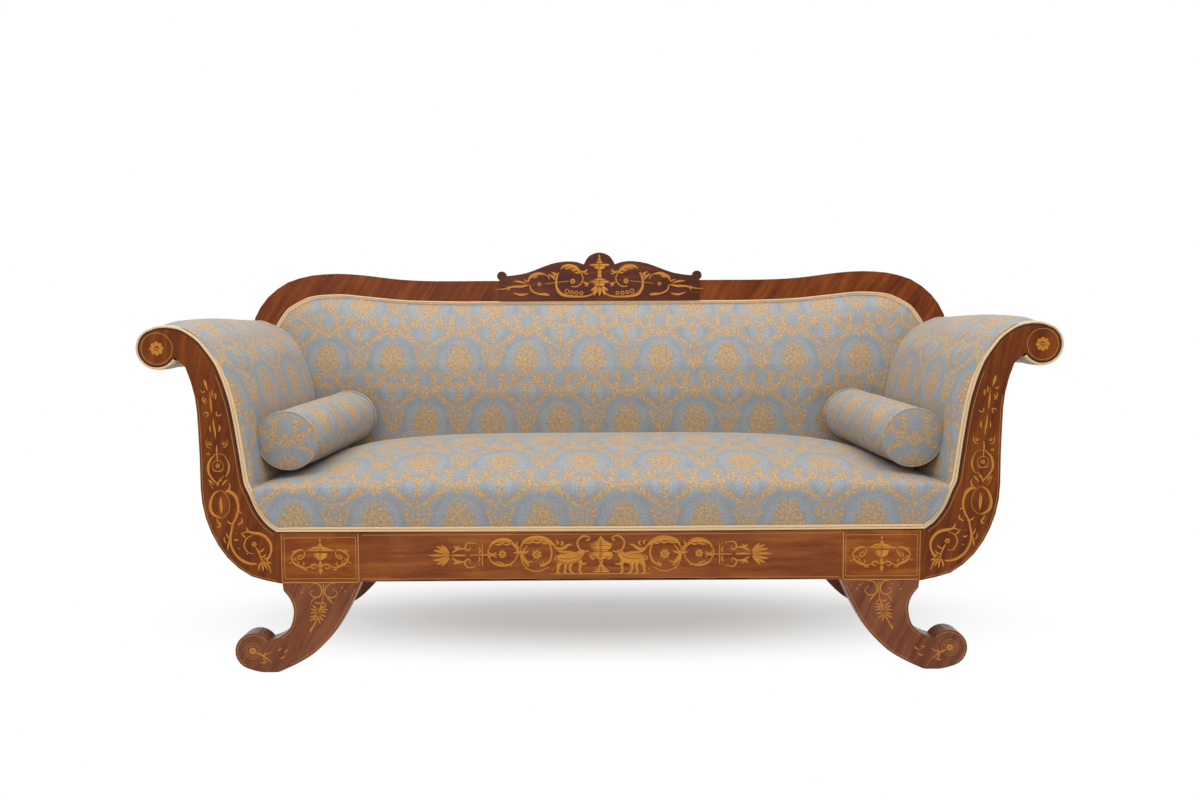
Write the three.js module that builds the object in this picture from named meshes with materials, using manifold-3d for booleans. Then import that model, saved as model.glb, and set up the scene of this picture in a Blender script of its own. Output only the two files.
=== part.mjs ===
import * as THREE from 'three';
import { mergeVertices } from 'three/addons/utils/BufferGeometryUtils.js';
import Module from 'manifold-3d';

// Recamier with two scrolled arms and a full back, in millimetres.
// While it is built, x runs along its length, y runs back from the front faces and z is up.
// Pieces are drawn for the right side and mirrored for the left.

// Clearances and cutting
const gap = 0.3; // between pieces that meet
const seam = gap / 2; // what each of two meeting pieces gives to that gap
const overrun = 6; // how far a cutting shape passes the face it cuts
const bite = 1; // how deep joined shapes of one piece reach into each other
const facetTolerance = 0.02; // flat neighbours within this are drawn as one face

// Base frame
const baseHalfLength = 791; // centre to the outer face of a leg block
const blockWidth = 195;
const baseDepth = 632;
const legHeight = 224;
const legThickness = 58;
const seatRailHeight = 126.5;
const railThickness = 34;
const railLift = 5; // underside of the rails above the underside of the blocks
const railBow = 7; // rise of the front rail's lower edge at its middle
const crossRailOffset = 260;
const crossRailWidth = 34;
const crossRailHeight = 60;
const dowelRadius = 9;
const dowelLength = 84;

// Legs
const legSpread = 314; // inner corner of a leg to the outside of its scroll
const footScrollRadius = 46;
const footScrollHeight = 53; // floor to the scroll's centre
const legShoulder = 3; // outer face of the block to the leg's outer top corner
const footFlat = 0.8; // depth that the flat of the foot takes off the curve

// Arms
const armOverhang = 335; // outer face of a leg block to the outside of the arm scroll
const scrollRadius = 46.5;
const scrollRise = 456.5; // rail's top to the scroll's centre
const facingThickness = 32;
const rearBoardThickness = 28;
const armPadSink = 12; // upholstery behind the line of the facing's inner edge
const armBulge = 48; // crown of the arm's inside past that line
const rollBulge = 8; // crown over the scroll
const armFlapRise = 34.5; // rail's top to the lowest edge of the arm's upholstery
const seatJunctionRise = 127.5; // rail's top to where the seat meets the arm at the front
const armHessianThickness = 2.5;
const armCoverThickness = 2.5;
const armCoverInset = 2; // outer cover inside the wood's outer edge
const lowerRailWidth = 88;
const lowerRailHeight = 40;

// Gimp and its rebate
const gimpWidth = 13;
const gimpEdgeWidth = 4.4; // where the gimp lies on top of the scroll
const gimpRebate = 12; // depth of the rebate that the gimp lies in
const gimpProud = 1.5; // gimp in front of the wood's face

// Back
const backRakeDegrees = 5;
const backThickness = 34;
const shoulderRise = 499.5; // rail's top to the joint between a stile and the crest rail
const crestRise = 631.5; // rail's top to the top of the crest rail beside the cartouche
const crestFaceHeight = 60; // visible face of the crest rail at the middle
const backInset = 98; // outside of the arm scroll to the back's outer edge
const backFrameWidth = 61; // that edge to the opening, at the shoulder joint
const backStrip = 22; // part of the frame that lies under gimp and hessian
const bottomRailHeight = 62;
const stileWidth = 84;
const muntinWidth = 50;
const hessianThickness = 2;
const backCoverInset = 14;
const backCoverThickness = 2;
const backPadThickness = 76;
const backPadFootRise = 94.5; // rail's top to the lowest edge of the back's upholstery

// Cartouche
const cartoucheHalfWidth = 312;
const cartoucheRise = 83; // dome above the crest rail
const cartoucheProud = 3;
const cartoucheInlet = 14; // depth of its recess in the crest rail

// Seat
const seatEdgeRise = 110.5; // rail's top to the roll edge at the front
const seatCrown = 91; // top of the dome above that edge
const seatFrontBulge = 6;
const seatOverhang = 81; // outer face of a leg block to the seat's end at the arm
const springRows = 3;
const springsPerSide = 3;
const springMargin = 11; // what a side of the seat leaves over beside its springs
const springClearance = 0.9; // first row to the hessian's slope in front of it
const springBackSpace = 107.5; // last row to the back of the base
const springSpace = 51; // between the coils of neighbouring rows
const springWaistDraw = 15; // how much smaller the radius is at a spring's waist
const springWire = 5;
const springTurns = 4;
const springHeight = 196;
const lashingThickness = 4;
const hessianEndSlope = 72; // run of the hessian's sloping border at the arms
const hessianLongSlope = 34; // and at the front and the back
const webWidth = 52;
const webThickness = 2;
const bottomClothThickness = 1.2;

// Bolsters
const bolsterRadius = 76;
const bolsterFrontSpace = 65; // front faces to the bolster
const bolsterBackSpace = 101; // bolster to the back of the base
const bolsterWall = 3;
const bolsterDisc = 4;
const bolsterCrown = 9; // crown of the end discs
const bolsterDraw = 1.5; // how far the case draws in at its ends
const bolsterInset = 116; // seat's end to the bolster's middle
const bolsterRise = 44; // roll edge of the seat to the bolster's underside
const bolsterYawDegrees = 7.6;
const bolsterPitchDegrees = 2.2;

// Places worked out from the sizes
const railTop = legHeight + seatRailHeight;
const railUnderside = legHeight + railLift;
const blockInner = baseHalfLength - blockWidth;
const frontFace = 0; // depth of the front legs, the facings and the front rail
const rearLegFace = baseDepth - legThickness;
const backFace = baseDepth - backThickness; // front of the back frame at the seat rails
const backRakeSlope = Math.tan(THREE.MathUtils.degToRad(backRakeDegrees));
const armHalfSpan = baseHalfLength + armOverhang;
const scrollX = armHalfSpan - scrollRadius;
const scrollHeight = railTop + scrollRise;
const backHalfWidth = armHalfSpan - backInset;
const openingHalfWidth = backHalfWidth - backFrameWidth;
const backShoulderHeight = railTop + shoulderRise;
const crestHeight = railTop + crestRise;
const seatEdgeHeight = railTop + seatEdgeRise;
const seatHalfLength = baseHalfLength + seatOverhang;
const facingBack = facingThickness + gap;
const springPitch = (baseHalfLength - springMargin) / springsPerSide;
const hessianSlopeBack = legThickness + gap + gap + hessianLongSlope + hessianThickness;
const springFrontSpace = hessianSlopeBack + springClearance;
const springBand = baseDepth - springFrontSpace - springBackSpace;
const springWidth = (springBand - (springRows - 1) * springSpace) / springRows;
const springRowStart = springFrontSpace + springWidth / 2;
const springRowPitch = springWidth + springSpace;
const springRadius = (springWidth - springWire) / 2;
const springWaist = springRadius - springWaistDraw;
const springFoot = railUnderside + gap;
const springTop = springFoot + springHeight;
const hessianTop = springTop + lashingThickness + gap + hessianThickness;
const bolsterLength = baseDepth - bolsterFrontSpace - bolsterBackSpace;
const bolsterOut = seatHalfLength - bolsterInset;
const bolsterBack = bolsterFrontSpace + bolsterLength / 2;
const bolsterUp = seatEdgeHeight + bolsterRise + bolsterRadius;

const wasm = await Module();
wasm.setup();
const { Manifold } = wasm;

// Solids
function signedVolume(positions, faces) {
  const corners = [new THREE.Vector3(), new THREE.Vector3(), new THREE.Vector3()];
  let total = 0;
  for (let face = 0; face < faces.length; face += 3) {
    corners.forEach((corner, i) => corner.fromArray(positions, 3 * faces[face + i]));
    total += corners[0].dot(corners[1].clone().cross(corners[2]));
  }
  return total;
}

function solidFromFaces(positions, faces) {
  const outward = signedVolume(positions, faces) > 0 ? faces : faces.slice().reverse();
  return new Manifold(new wasm.Mesh({
    numProp: 3,
    vertProperties: new Float32Array(positions),
    triVerts: new Uint32Array(outward),
  }));
}

function solidFromGeometry(geometry) {
  const bare = new THREE.BufferGeometry();
  bare.setAttribute('position', geometry.attributes.position);
  if (geometry.index) {
    bare.setIndex(geometry.index);
  }
  const welded = mergeVertices(bare);
  const faces = [];
  for (let face = 0; face < welded.index.count; face += 3) {
    const corners = [0, 1, 2].map((i) => welded.index.getX(face + i));
    if (new Set(corners).size === corners.length) {
      faces.push(...corners);
    }
  }
  return solidFromFaces(Array.from(welded.attributes.position.array), faces);
}

function geometryFromSolid(solid) {
  const mesh = solid.asOriginal().simplify(facetTolerance).getMesh();
  const geometry = new THREE.BufferGeometry();
  geometry.setAttribute('position', new THREE.BufferAttribute(mesh.vertProperties, mesh.numProp));
  geometry.setIndex(new THREE.BufferAttribute(mesh.triVerts, 1));
  geometry.computeVertexNormals();
  return geometry;
}

function capFaces(ring) {
  const box = new THREE.Box3().setFromArray(ring.flat());
  const size = box.getSize(new THREE.Vector3()).toArray();
  const flat = size.indexOf(Math.min(...size));
  const axes = [0, 1, 2].filter((axis) => axis !== flat);
  const contour = ring.map((point) => new THREE.Vector2(point[axes[0]], point[axes[1]]));
  const turn = Math.sign(THREE.ShapeUtils.area(contour));
  return THREE.ShapeUtils.triangulateShape(contour, []).map((face) => {
    const sign = Math.sign(THREE.ShapeUtils.area(face.map((i) => contour[i])));
    return sign === turn ? face : [face[0], face[2], face[1]];
  });
}

// A closed skin through rings of points, each ring with as many points, with flat ends
function loft(rings) {
  const count = rings[0].length;
  const faces = [];
  for (let ring = 0; ring + 1 < rings.length; ring += 1) {
    for (let i = 0; i < count; i += 1) {
      const a = ring * count + i;
      const b = ring * count + (i + 1) % count;
      faces.push(a, b, b + count, a, b + count, a + count);
    }
  }
  const last = (rings.length - 1) * count;
  for (const [a, b, c] of capFaces(rings[0])) {
    faces.push(a, c, b);
  }
  for (const [a, b, c] of capFaces(rings[rings.length - 1])) {
    faces.push(last + a, last + b, last + c);
  }
  return solidFromFaces(rings.flat(2), faces);
}

// A prism along y whose ends are at a fixed depth or at a depth that depends on the height
function prism(outline, front, back) {
  const depth = (end, z) => (typeof end === 'function' ? end(z) : end);
  return loft([front, back].map((end) => outline.map((point) => [point.x, depth(end, point.y), point.y])));
}

function box(x0, x1, y0, y1, z0, z1) {
  const geometry = new THREE.BoxGeometry(x1 - x0, y1 - y0, z1 - z0);
  geometry.translate((x0 + x1) / 2, (y0 + y1) / 2, (z0 + z1) / 2);
  return solidFromGeometry(geometry);
}

function mirrored(solid) {
  return solid.mirror([1, 0, 0]);
}

function joined(solids) {
  return solids.reduce((whole, solid) => whole.add(solid));
}

function lessAll(solid, cutters) {
  return cutters.reduce((rest, cutter) => rest.subtract(cutter), solid);
}

// The largest body that cutting leaves, without offcuts
function mainBody(solid) {
  return solid.decompose().reduce((best, body) => (body.volume() > best.volume() ? body : best));
}

// Curves in the plane of the front: x across and y for the height
function point(x, z) {
  return new THREE.Vector2(x, z);
}

function smooth(points, steps) {
  return new THREE.SplineCurve(points).getSpacedPoints(steps);
}

function arc(centre, radius, fromDegrees, toDegrees, steps) {
  return Array.from({ length: steps + 1 }, (_, i) => {
    const angle = THREE.MathUtils.degToRad(fromDegrees + (toDegrees - fromDegrees) * i / steps);
    return point(centre.x + radius * Math.cos(angle), centre.y + radius * Math.sin(angle));
  });
}

function flipped(points) {
  return points.map((p) => point(-p.x, p.y)).reverse();
}

// The normal to the left of the way that an open line runs
function leftNormals(points) {
  return points.map((p, i) => {
    const before = points[Math.max(i - 1, 0)];
    const after = points[Math.min(i + 1, points.length - 1)];
    const along = after.clone().sub(before).normalize();
    return point(-along.y, along.x);
  });
}

function offset(points, distance) {
  const normals = leftNormals(points);
  return points.map((p, i) => {
    const reach = typeof distance === 'function' ? distance(p, normals[i]) : distance;
    return p.clone().addScaledVector(normals[i], reach);
  });
}

function strip(points, nearSide, farSide) {
  return [...offset(points, nearSide), ...offset(points, farSide).reverse()];
}

// A closed outline moved outward all round
function grownOutline(outline, distance) {
  const turn = Math.sign(THREE.ShapeUtils.area(outline));
  const count = outline.length;
  return outline.map((p, i) => {
    const into = p.clone().sub(outline[(i + count - 1) % count]).normalize();
    const out = outline[(i + 1) % count].clone().sub(p).normalize();
    const normal = point(into.y + out.y, -into.x - out.x).normalize().multiplyScalar(turn);
    const edge = point(into.y, -into.x).multiplyScalar(turn);
    return p.clone().addScaledVector(normal, distance / Math.max(normal.dot(edge), 1 / 2));
  });
}

function heightAt(points, x) {
  const next = Math.max(1, points.findIndex((p) => p.x >= x));
  const a = points[next - 1];
  const b = points[next];
  return a.y + (b.y - a.y) * (x - a.x) / (b.x - a.x);
}

function profileAt(table, share) {
  const next = Math.min(Math.max(1, table.findIndex((row) => row[0] >= share)), table.length - 1);
  const [a, b] = [table[next - 1], table[next]];
  return a[1] + (b[1] - a[1]) * THREE.MathUtils.clamp((share - a[0]) / (b[0] - a[0]), 0, 1);
}

// The S of an arm, shared by the facing, the rear board and the upholstery
const scrollCentre = point(scrollX, scrollHeight);
const scrollTopDegrees = 60;
const notchDegrees = -154;
const facingSteps = 26;
const scrollSteps = 14;

// Across from the block to the scroll's centre, and up from the rail's top to that centre
const innerShares = [
  [0.031, 0.004], [0.107, 0.041], [0.163, 0.084], [0.211, 0.134], [0.262, 0.213], [0.299, 0.268],
  [0.319, 0.352], [0.357, 0.526], [0.390, 0.656], [0.421, 0.742], [0.463, 0.830], [0.519, 0.916],
  [0.612, 1.002], [0.670, 1.044],
];
// From the scroll's centre, in scroll radii
const rollShares = [[-1.46, 0.85], [-1.03, 1.02], [-0.51, 1.09], [0, 1.05]];
// Across from the block to the scroll's centre, and up from the leg's top to that centre
const outerShares = [
  [0, 0], [0.211, 0.024], [0.317, 0.051], [0.438, 0.103], [0.546, 0.180], [0.630, 0.283],
  [0.663, 0.386], [0.665, 0.539], [0.677, 0.741], [0.698, 0.816], [0.725, 0.868], [0.760, 0.918],
  [0.803, 0.948],
];

const scrollArc = arc(scrollCentre, scrollRadius, scrollTopDegrees, notchDegrees, scrollSteps);

function innerCurve() {
  const across = scrollX - baseHalfLength;
  const rise = scrollHeight - railTop;
  const lower = innerShares.map(([u, v]) => point(baseHalfLength + u * across, railTop + v * rise));
  const roll = rollShares.map(([u, v]) => {
    return point(scrollX + u * scrollRadius, scrollHeight + v * scrollRadius);
  });
  return smooth([...lower, ...roll, scrollArc[0]], facingSteps);
}

function outerCurve() {
  const across = scrollX - baseHalfLength;
  const rise = scrollHeight - legHeight;
  const points = outerShares.map(([u, v]) => {
    return point(baseHalfLength + seam + u * across, legHeight + v * rise);
  });
  return smooth([...points, scrollArc[scrollArc.length - 1]], 18);
}

const armInner = innerCurve();
const armOuter = outerCurve();
// From the rail's corner up the inside, over the roll and round the scroll to the notch
const armSpine = [...armInner, ...scrollArc.slice(1)];

function facingOutline() {
  const corner = [point(baseHalfLength + seam, railTop)];
  return [...armOuter, ...scrollArc.slice(0, -1).reverse(), ...armInner.slice(0, -1).reverse(), ...corner];
}

// The gimp is seen flat along the S and on edge where it lies over the roll
function gimpReach(p, normal) {
  if (p.y < scrollHeight - scrollRadius - scrollRadius) {
    return gimpWidth;
  }
  return gimpEdgeWidth + (gimpWidth - gimpEdgeWidth) * Math.max(0, -normal.x);
}

// Depths on the leaning back, forward of its face where negative
function leaning(depth) {
  return (z) => backFace + depth + (z - railTop) * backRakeSlope;
}

// Base frame
function frontRail() {
  const end = blockInner - seam;
  const middle = point(0, railUnderside + railBow);
  const underside = [point(-end, railUnderside), middle, point(end, railUnderside)];
  const face = [...smooth(underside, 16), point(end, railTop), point(-end, railTop)];
  const ledge = box(-end, end, gimpRebate + gap, railThickness, railTop - bite, railTop + gimpWidth - gap);
  return prism(face, 0, railThickness).add(ledge);
}

function rearRail() {
  const end = blockInner - seam;
  return box(-end, end, baseDepth - railThickness, baseDepth, railUnderside, railTop);
}

function sideRail() {
  const outer = baseHalfLength - seam;
  const front = legThickness + gap;
  return box(outer - railThickness, outer, front, rearLegFace - gap, railUnderside, railTop);
}

function crossRail() {
  const x0 = crossRailOffset - crossRailWidth / 2;
  const back = baseDepth - railThickness - gap;
  const front = railThickness + gap;
  return box(x0, x0 + crossRailWidth, front, back, railUnderside, railUnderside + crossRailHeight);
}

function dowel(front, radius, length) {
  const geometry = new THREE.CylinderGeometry(radius, radius, length, 16);
  geometry.rotateX(Math.PI / 2);
  geometry.translate(baseHalfLength - blockWidth / 2, front + legThickness / 2, legHeight);
  return solidFromGeometry(geometry);
}

function dowelHole(front) {
  return dowel(front, dowelRadius + gap, dowelLength + gap + gap);
}

function legBlock(front, hasLedge) {
  const x0 = blockInner + seam;
  const x1 = baseHalfLength - seam;
  const body = box(x0, x1, front, front + legThickness, legHeight + seam, railTop);
  const ledge = box(x0, x1, front + gimpRebate + gap, front + legThickness, railTop - bite,
    railTop + gimpWidth - gap);
  const block = hasLedge ? body.add(ledge) : body;
  return block.subtract(dowelHole(front));
}

// Legs
// Across from the leg's inner corner to its reach, and up from the floor to its top
const legInnerShares = [
  [0, 1], [0.038, 0.879], [0.083, 0.75], [0.146, 0.585], [0.217, 0.433], [0.300, 0.308],
  [0.382, 0.205], [0.490, 0.112], [0.596, 0.040],
];
const legOuterShares = [
  [0.666, 0.384], [0.602, 0.438], [0.561, 0.5], [0.535, 0.603], [0.529, 0.714], [0.554, 0.826],
  [0.605, 0.920],
];
const footArcShares = [0.675, 0.758]; // ends of the foot's flat along the leg's reach
const footRiseShare = 0.012;

function legOutline() {
  const x0 = blockInner;
  const place = ([u, v]) => point(x0 + u * legSpread, v * legHeight);
  const centre = point(x0 + legSpread - footScrollRadius, footScrollHeight);
  const curl = arc(centre, footScrollRadius, -70, 146, 14);
  const flat = footArcShares.map((u) => point(x0 + u * legSpread, -footFlat));
  const lift = point((flat[1].x + curl[0].x) / 2, footRiseShare * legHeight);
  const under = smooth([...legInnerShares.map(place), ...flat, lift, curl[0]], 24);
  const top = legHeight - seam;
  const corner = point(baseHalfLength - legShoulder, top);
  const outer = smooth([curl[curl.length - 1], ...legOuterShares.map(place)], 12);
  const inner = point(x0, top);
  return [inner, ...under.slice(1), ...curl.slice(1), ...outer.slice(1), corner];
}

function leg(front) {
  const solid = prism(legOutline(), front, front + legThickness);
  return solid.trimByPlane([0, 0, 1], 0).subtract(dowelHole(front));
}

// Arms
const gimpRight = [point(baseHalfLength + seam, railTop), ...armSpine];

function facing(grow) {
  const board = prism(grownOutline(facingOutline(), grow), -grow, facingThickness + grow);
  const line = strip(gimpRight, -bite, (p, normal) => gimpReach(p, normal) - gap + grow);
  const ledge = prism(line, gimpRebate + gap - grow, facingThickness + grow);
  return board.add(ledge).trimByPlane([1, 0, 0], baseHalfLength + seam - grow);
}

function rearBoard(grow) {
  const outline = grownOutline(facingOutline(), grow);
  return prism(outline, leaning(-rearBoardThickness - grow), leaning(-gap + grow));
}

const rollStart = armSpine.findIndex((p) => p.x > scrollX - scrollRadius);
const armBack = leaning(-rearBoardThickness - gap);

function rollRail(grow) {
  const outline = offset(armSpine, -armPadSink - gap).slice(rollStart);
  return prism(grownOutline(outline, grow), facingBack - grow, armBack);
}

function lowerRail() {
  const x0 = baseHalfLength + seam;
  const z0 = railTop - lowerRailHeight;
  const x1 = x0 + lowerRailWidth;
  return prism([point(x0, z0), point(x1, z0), point(x1, railTop), point(x0, railTop)], facingBack, armBack);
}

function armHessian() {
  const near = -armPadSink - gap;
  const outline = strip(armSpine.slice(0, rollStart + 1), near, near - armHessianThickness);
  const sheet = prism(outline, facingBack, armBack);
  return mainBody(sheet.trimByPlane([0, 0, 1], railTop + gap).subtract(rollRail(gap)));
}

// Along the depth of the seat: how much of the crown the arm's inside has
const armDepthShares = [[0, 0.38], [0.06, 0.5], [0.12, 0.6], [0.25, 0.84], [0.5, 1], [0.8, 1], [1.1, 0.92]];
const armStationShares = [0.007, 0.06, 0.12, 0.25, 0.5, 0.8];
const armCrownPower = 1.3;

function armReach(p, normal, depthShare) {
  const tuck = THREE.MathUtils.smoothstep(p.y, railTop + armFlapRise, railTop + seatJunctionRise);
  const underRoll = p.y < scrollHeight && p.x > scrollX - scrollRadius - bite;
  const facingSeat = underRoll ? 0 : Math.max(0, -normal.x) ** armCrownPower;
  return (rollBulge + (armBulge - rollBulge) * facingSeat) * depthShare * tuck;
}

function armRing(depthShare, depthAt, grow) {
  const line = armSpine.slice(armSpine.findIndex((p) => p.y > railTop + armFlapRise));
  const surface = offset(line, (p, normal) => armReach(p, normal, depthShare) + grow);
  const inside = offset(line, -armPadSink - grow).reverse();
  return [...surface, ...inside].map((p) => [p.x, depthAt(p.y), p.y]);
}

function armForm(grow) {
  const rings = armStationShares.map((share, i) => {
    const y = share * backFace - (i === 0 ? grow : 0);
    return armRing(profileAt(armDepthShares, share), () => y, grow);
  });
  const end = leaning(-gap + grow);
  return loft([...rings, armRing(profileAt(armDepthShares, 1), end, grow)]);
}

function armPad() {
  return mainBody(lessAll(armForm(0), [facing(gap), seatGimp(gap), rearBoard(gap), bolsterForm(gap)]));
}

function armCover() {
  const outline = strip(armOuter, armCoverInset, armCoverInset + armCoverThickness);
  const sheet = prism(outline, facingBack, armBack).trimByPlane([1, 0, 0], baseHalfLength + seam);
  return mainBody(lessAll(sheet, [armForm(gap), rollRail(gap)]));
}

function seatGimp(grow) {
  const path = [point(-bite, railTop), ...gimpRight.slice(0, -1)];
  const outline = strip(path, gap - grow, (p, normal) => gimpReach(p, normal) + grow);
  const right = prism(outline, -gimpProud - grow, gimpRebate + grow);
  return right.add(mirrored(right));
}

// Back frame
// Across to the frame's half width, and up from the shoulder joint to the crest beside the cartouche
const crestOuterShares = [
  [1, -0.1], [1, 0.152], [0.996, 0.242], [0.984, 0.424], [0.967, 0.606], [0.944, 0.780], [0.911, 0.962],
  [0.872, 1.076], [0.825, 1.152], [0.755, 1.180], [0.686, 1.144], [0.639, 1.098], [0.593, 1.053],
  [0.547, 1.023], [0.477, 1.002], [0.349, 1], [0.16, 1],
];
// Across to the opening's half width, and up from the shoulder joint to its edge at the middle
const crestInnerShares = [
  [1, 0], [0.986, 0.306], [0.964, 0.708], [0.936, 0.958], [0.907, 1.153], [0.883, 1.250], [0.847, 1.306],
  [0.788, 1.319], [0.716, 1.222], [0.625, 1.097], [0.557, 1.042], [0.445, 1.004], [0.352, 1], [0.16, 1],
];
// Across as above, and up from the seat rails to the shoulder joint
const sideInnerShares = [
  [0.903, -0.02], [0.918, 0.154], [0.934, 0.295], [0.943, 0.497], [0.960, 0.698], [0.982, 0.859], [1, 1],
];
const crestSteps = 60;

function crestLine(shares, halfWidth, top) {
  const right = shares.map(([u, v]) => {
    return point(u * halfWidth, backShoulderHeight + v * (top - backShoulderHeight));
  });
  return smooth([...right, ...flipped(right)], crestSteps);
}

const crestOuter = crestLine(crestOuterShares, backHalfWidth, crestHeight);
const crestInner = crestLine(crestInnerShares, openingHalfWidth, crestHeight - crestFaceHeight);
const sideInner = smooth(sideInnerShares.map(([u, v]) => {
  return point(u * openingHalfWidth, railTop + v * (backShoulderHeight - railTop));
}), 8);
// Right foot, up the side, over the top and down the left side
const opening = [...sideInner, ...crestInner.slice(1), ...flipped(sideInner).slice(1)];

function frameStrip() {
  return prism(strip(opening, -bite, backStrip), leaning(gimpRebate + gap), leaning(backThickness));
}

function crestRail() {
  const outline = [...crestOuter, ...crestInner.slice().reverse()];
  const face = prism(outline, leaning(0), leaning(backThickness));
  const whole = face.add(frameStrip()).trimByPlane([0, 0, 1], backShoulderHeight + seam);
  return whole.subtract(cartoucheInletForm(gap));
}

function stile() {
  const outer = offset(sideInner, -stileWidth + backStrip);
  const face = prism([...sideInner, ...outer.reverse()], leaning(0), leaning(backThickness));
  const whole = face.add(frameStrip()).trimByPlane([0, 0, -1], seam - backShoulderHeight);
  return whole.trimByPlane([1, 0, 0], openingHalfWidth / 2).trimByPlane([0, 0, 1], railTop + gap);
}

const bottomRailTop = railTop + gap + bottomRailHeight;

function bottomRail() {
  const end = offset(sideInner, backStrip + gap);
  const across = (z) => heightAt(end.map((p) => point(p.y, p.x)), z);
  const foot = railTop + gap;
  const between = end.filter((p) => p.y > foot && p.y < bottomRailTop);
  const right = [point(across(foot), foot), ...between, point(across(bottomRailTop), bottomRailTop)];
  return prism([...right, ...flipped(right)], leaning(gimpRebate + gap), leaning(backThickness));
}

function muntin() {
  const top = crestHeight - crestFaceHeight - backStrip - gap;
  const right = [point(muntinWidth / 2, bottomRailTop + gap), point(muntinWidth / 2, top)];
  return prism([...right, ...flipped(right)], leaning(gimpRebate + gap), leaning(backThickness));
}

function backHessian() {
  const outline = offset(opening, gimpWidth + gap);
  const sheet = prism(outline, leaning(gimpRebate - hessianThickness), leaning(gimpRebate));
  return sheet.trimByPlane([0, 0, 1], railTop + gap);
}

function backCover() {
  const side = offset(sideInner, -stileWidth + backStrip).filter((p) => p.y < backShoulderHeight);
  const line = [...side, ...crestOuter.filter((p) => p.y > backShoulderHeight), ...flipped(side)];
  const outline = offset(line, backCoverInset);
  const front = leaning(backThickness + gap);
  const sheet = prism(outline, front, leaning(backThickness + gap + backCoverThickness));
  return sheet.trimByPlane([0, 0, 1], railTop + gap);
}

function backGimp() {
  const line = strip(opening, gap, gimpWidth);
  const band = prism(line, leaning(-gimpProud), leaning(gimpRebate));
  const visible = band.trimByPlane([0, 0, 1], backShoulderHeight);
  return mainBody(lessAll(visible, [armForm(gap), mirrored(armForm(gap))]));
}

// Cartouche on the crest rail
// Across to its half width, and up from the crest rail to the dome's top
const knobRadius = 14;
const knobInset = 21; // end of the cartouche to the knob's centre
const humpShares = [
  [0.795, 0.205], [0.683, 0.289], [0.571, 0.446], [0.446, 0.614], [0.317, 0.687], [0.215, 0.663],
  [0.151, 0.578],
];
const domeShares = [[0.145, 0.602], [0.131, 0.699], [0.090, 0.892], [0, 1]];

function cartoucheTop() {
  const place = ([u, v]) => point(u * cartoucheHalfWidth, crestHeight + v * cartoucheRise);
  const knobCentre = point(cartoucheHalfWidth - knobInset, crestHeight + knobRadius);
  const knob = arc(knobCentre, knobRadius, -60, 180, 10);
  const hump = smooth([knob[knob.length - 1], ...humpShares.map(place)], 12);
  const rightDome = domeShares.map(place);
  const dome = smooth([...rightDome, ...flipped(rightDome).slice(1)], 14);
  const right = [...knob, ...hump.slice(1)];
  return [...right, ...dome, ...flipped(right)];
}

function cartoucheOutline(foot) {
  const top = cartoucheTop();
  const x = top[0].x;
  return [point(-x, foot), point(x, foot), ...top];
}

function cartoucheInletForm(grow) {
  const outline = grownOutline(cartoucheOutline(crestHeight - crestFaceHeight), grow);
  return prism(outline, leaning(-cartoucheProud), leaning(cartoucheInlet + grow));
}

function cartouche() {
  const outline = cartoucheOutline(crestHeight - overrun);
  const upper = prism(outline, leaning(-cartoucheProud), leaning(backThickness));
  return cartoucheInletForm(0).add(upper.trimByPlane([0, 0, 1], crestHeight + gap));
}

// Upholstery of the back
// Up from its foot to its top edge, and how much of its thickness it has there
const backPadShares = [
  [0, 0.9], [0.12, 1], [0.3, 1], [0.5, 0.93], [0.7, 0.8], [0.84, 0.62], [0.93, 0.4], [0.98, 0.18],
  [1, 0.05],
];
const backStationShares = [0, 0.2, 0.4, 0.6, 0.74, 0.84, 0.91, 0.95, 0.98, 1];
const backPadPower = 7;
const backPadDrawShare = 0.8; // thickness lost at the outer ends

function backPadForm(grow) {
  const edge = offset(crestInner, gimpWidth + gap).reverse();
  const halfWidth = edge[edge.length - 1].x;
  const right = backStationShares.map((share) => share * halfWidth);
  const stations = [...right.slice(1).reverse().map((x) => -x), ...right];
  const inside = gimpRebate - hessianThickness - gap;
  const rings = stations.map((x) => {
    const top = heightAt(edge, x);
    const foot = railTop + backPadFootRise - grow;
    const crown = 1 - backPadDrawShare * Math.abs(x / halfWidth) ** backPadPower;
    const place = (depth, z) => [x, leaning(depth)(z), z];
    const front = backPadShares.map(([v, t]) => {
      return place(-backPadThickness * t * crown - grow, foot + v * (top - foot));
    });
    return [place(inside, foot), ...front, place(inside, top)];
  });
  return loft(rings);
}

function backPad() {
  const outline = offset(opening, gimpWidth + gap);
  const field = prism(outline, leaning(-backPadThickness - overrun), leaning(gimpRebate));
  const cutters = [armForm(gap), rearBoard(gap), bolsterForm(gap)];
  return mainBody(lessAll(backPadForm(0).intersect(field), [...cutters, ...cutters.map(mirrored)]));
}

// Springs and webbing
function springCentres() {
  const right = Array.from({ length: springsPerSide }, (_, i) => (i + 1 / 2) * springPitch);
  return [...right.slice().reverse().map((x) => -x), ...right];
}

const springFlatShare = 0.12; // of its run, level at the foot and again at the top

function spring(x, y) {
  const steps = 6 * springTurns;
  const reach = springHeight - springWire;
  const rings = Array.from({ length: steps + 1 }, (_, i) => {
    const share = i / steps;
    const angle = 2 * Math.PI * springTurns * share;
    const radius = springRadius - (springRadius - springWaist) * Math.sin(Math.PI * share);
    const climb = (share - springFlatShare) / (1 - springFlatShare - springFlatShare);
    const z = springFoot + springWire / 2 + reach * THREE.MathUtils.clamp(climb, 0, 1);
    return [[1, 0], [0, 1], [-1, 0], [0, -1]].map(([out, up]) => {
      const r = radius + out * springWire / 2;
      return [x + r * Math.cos(angle), y + r * Math.sin(angle), z + up * springWire / 2];
    });
  });
  return loft(rings);
}

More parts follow.
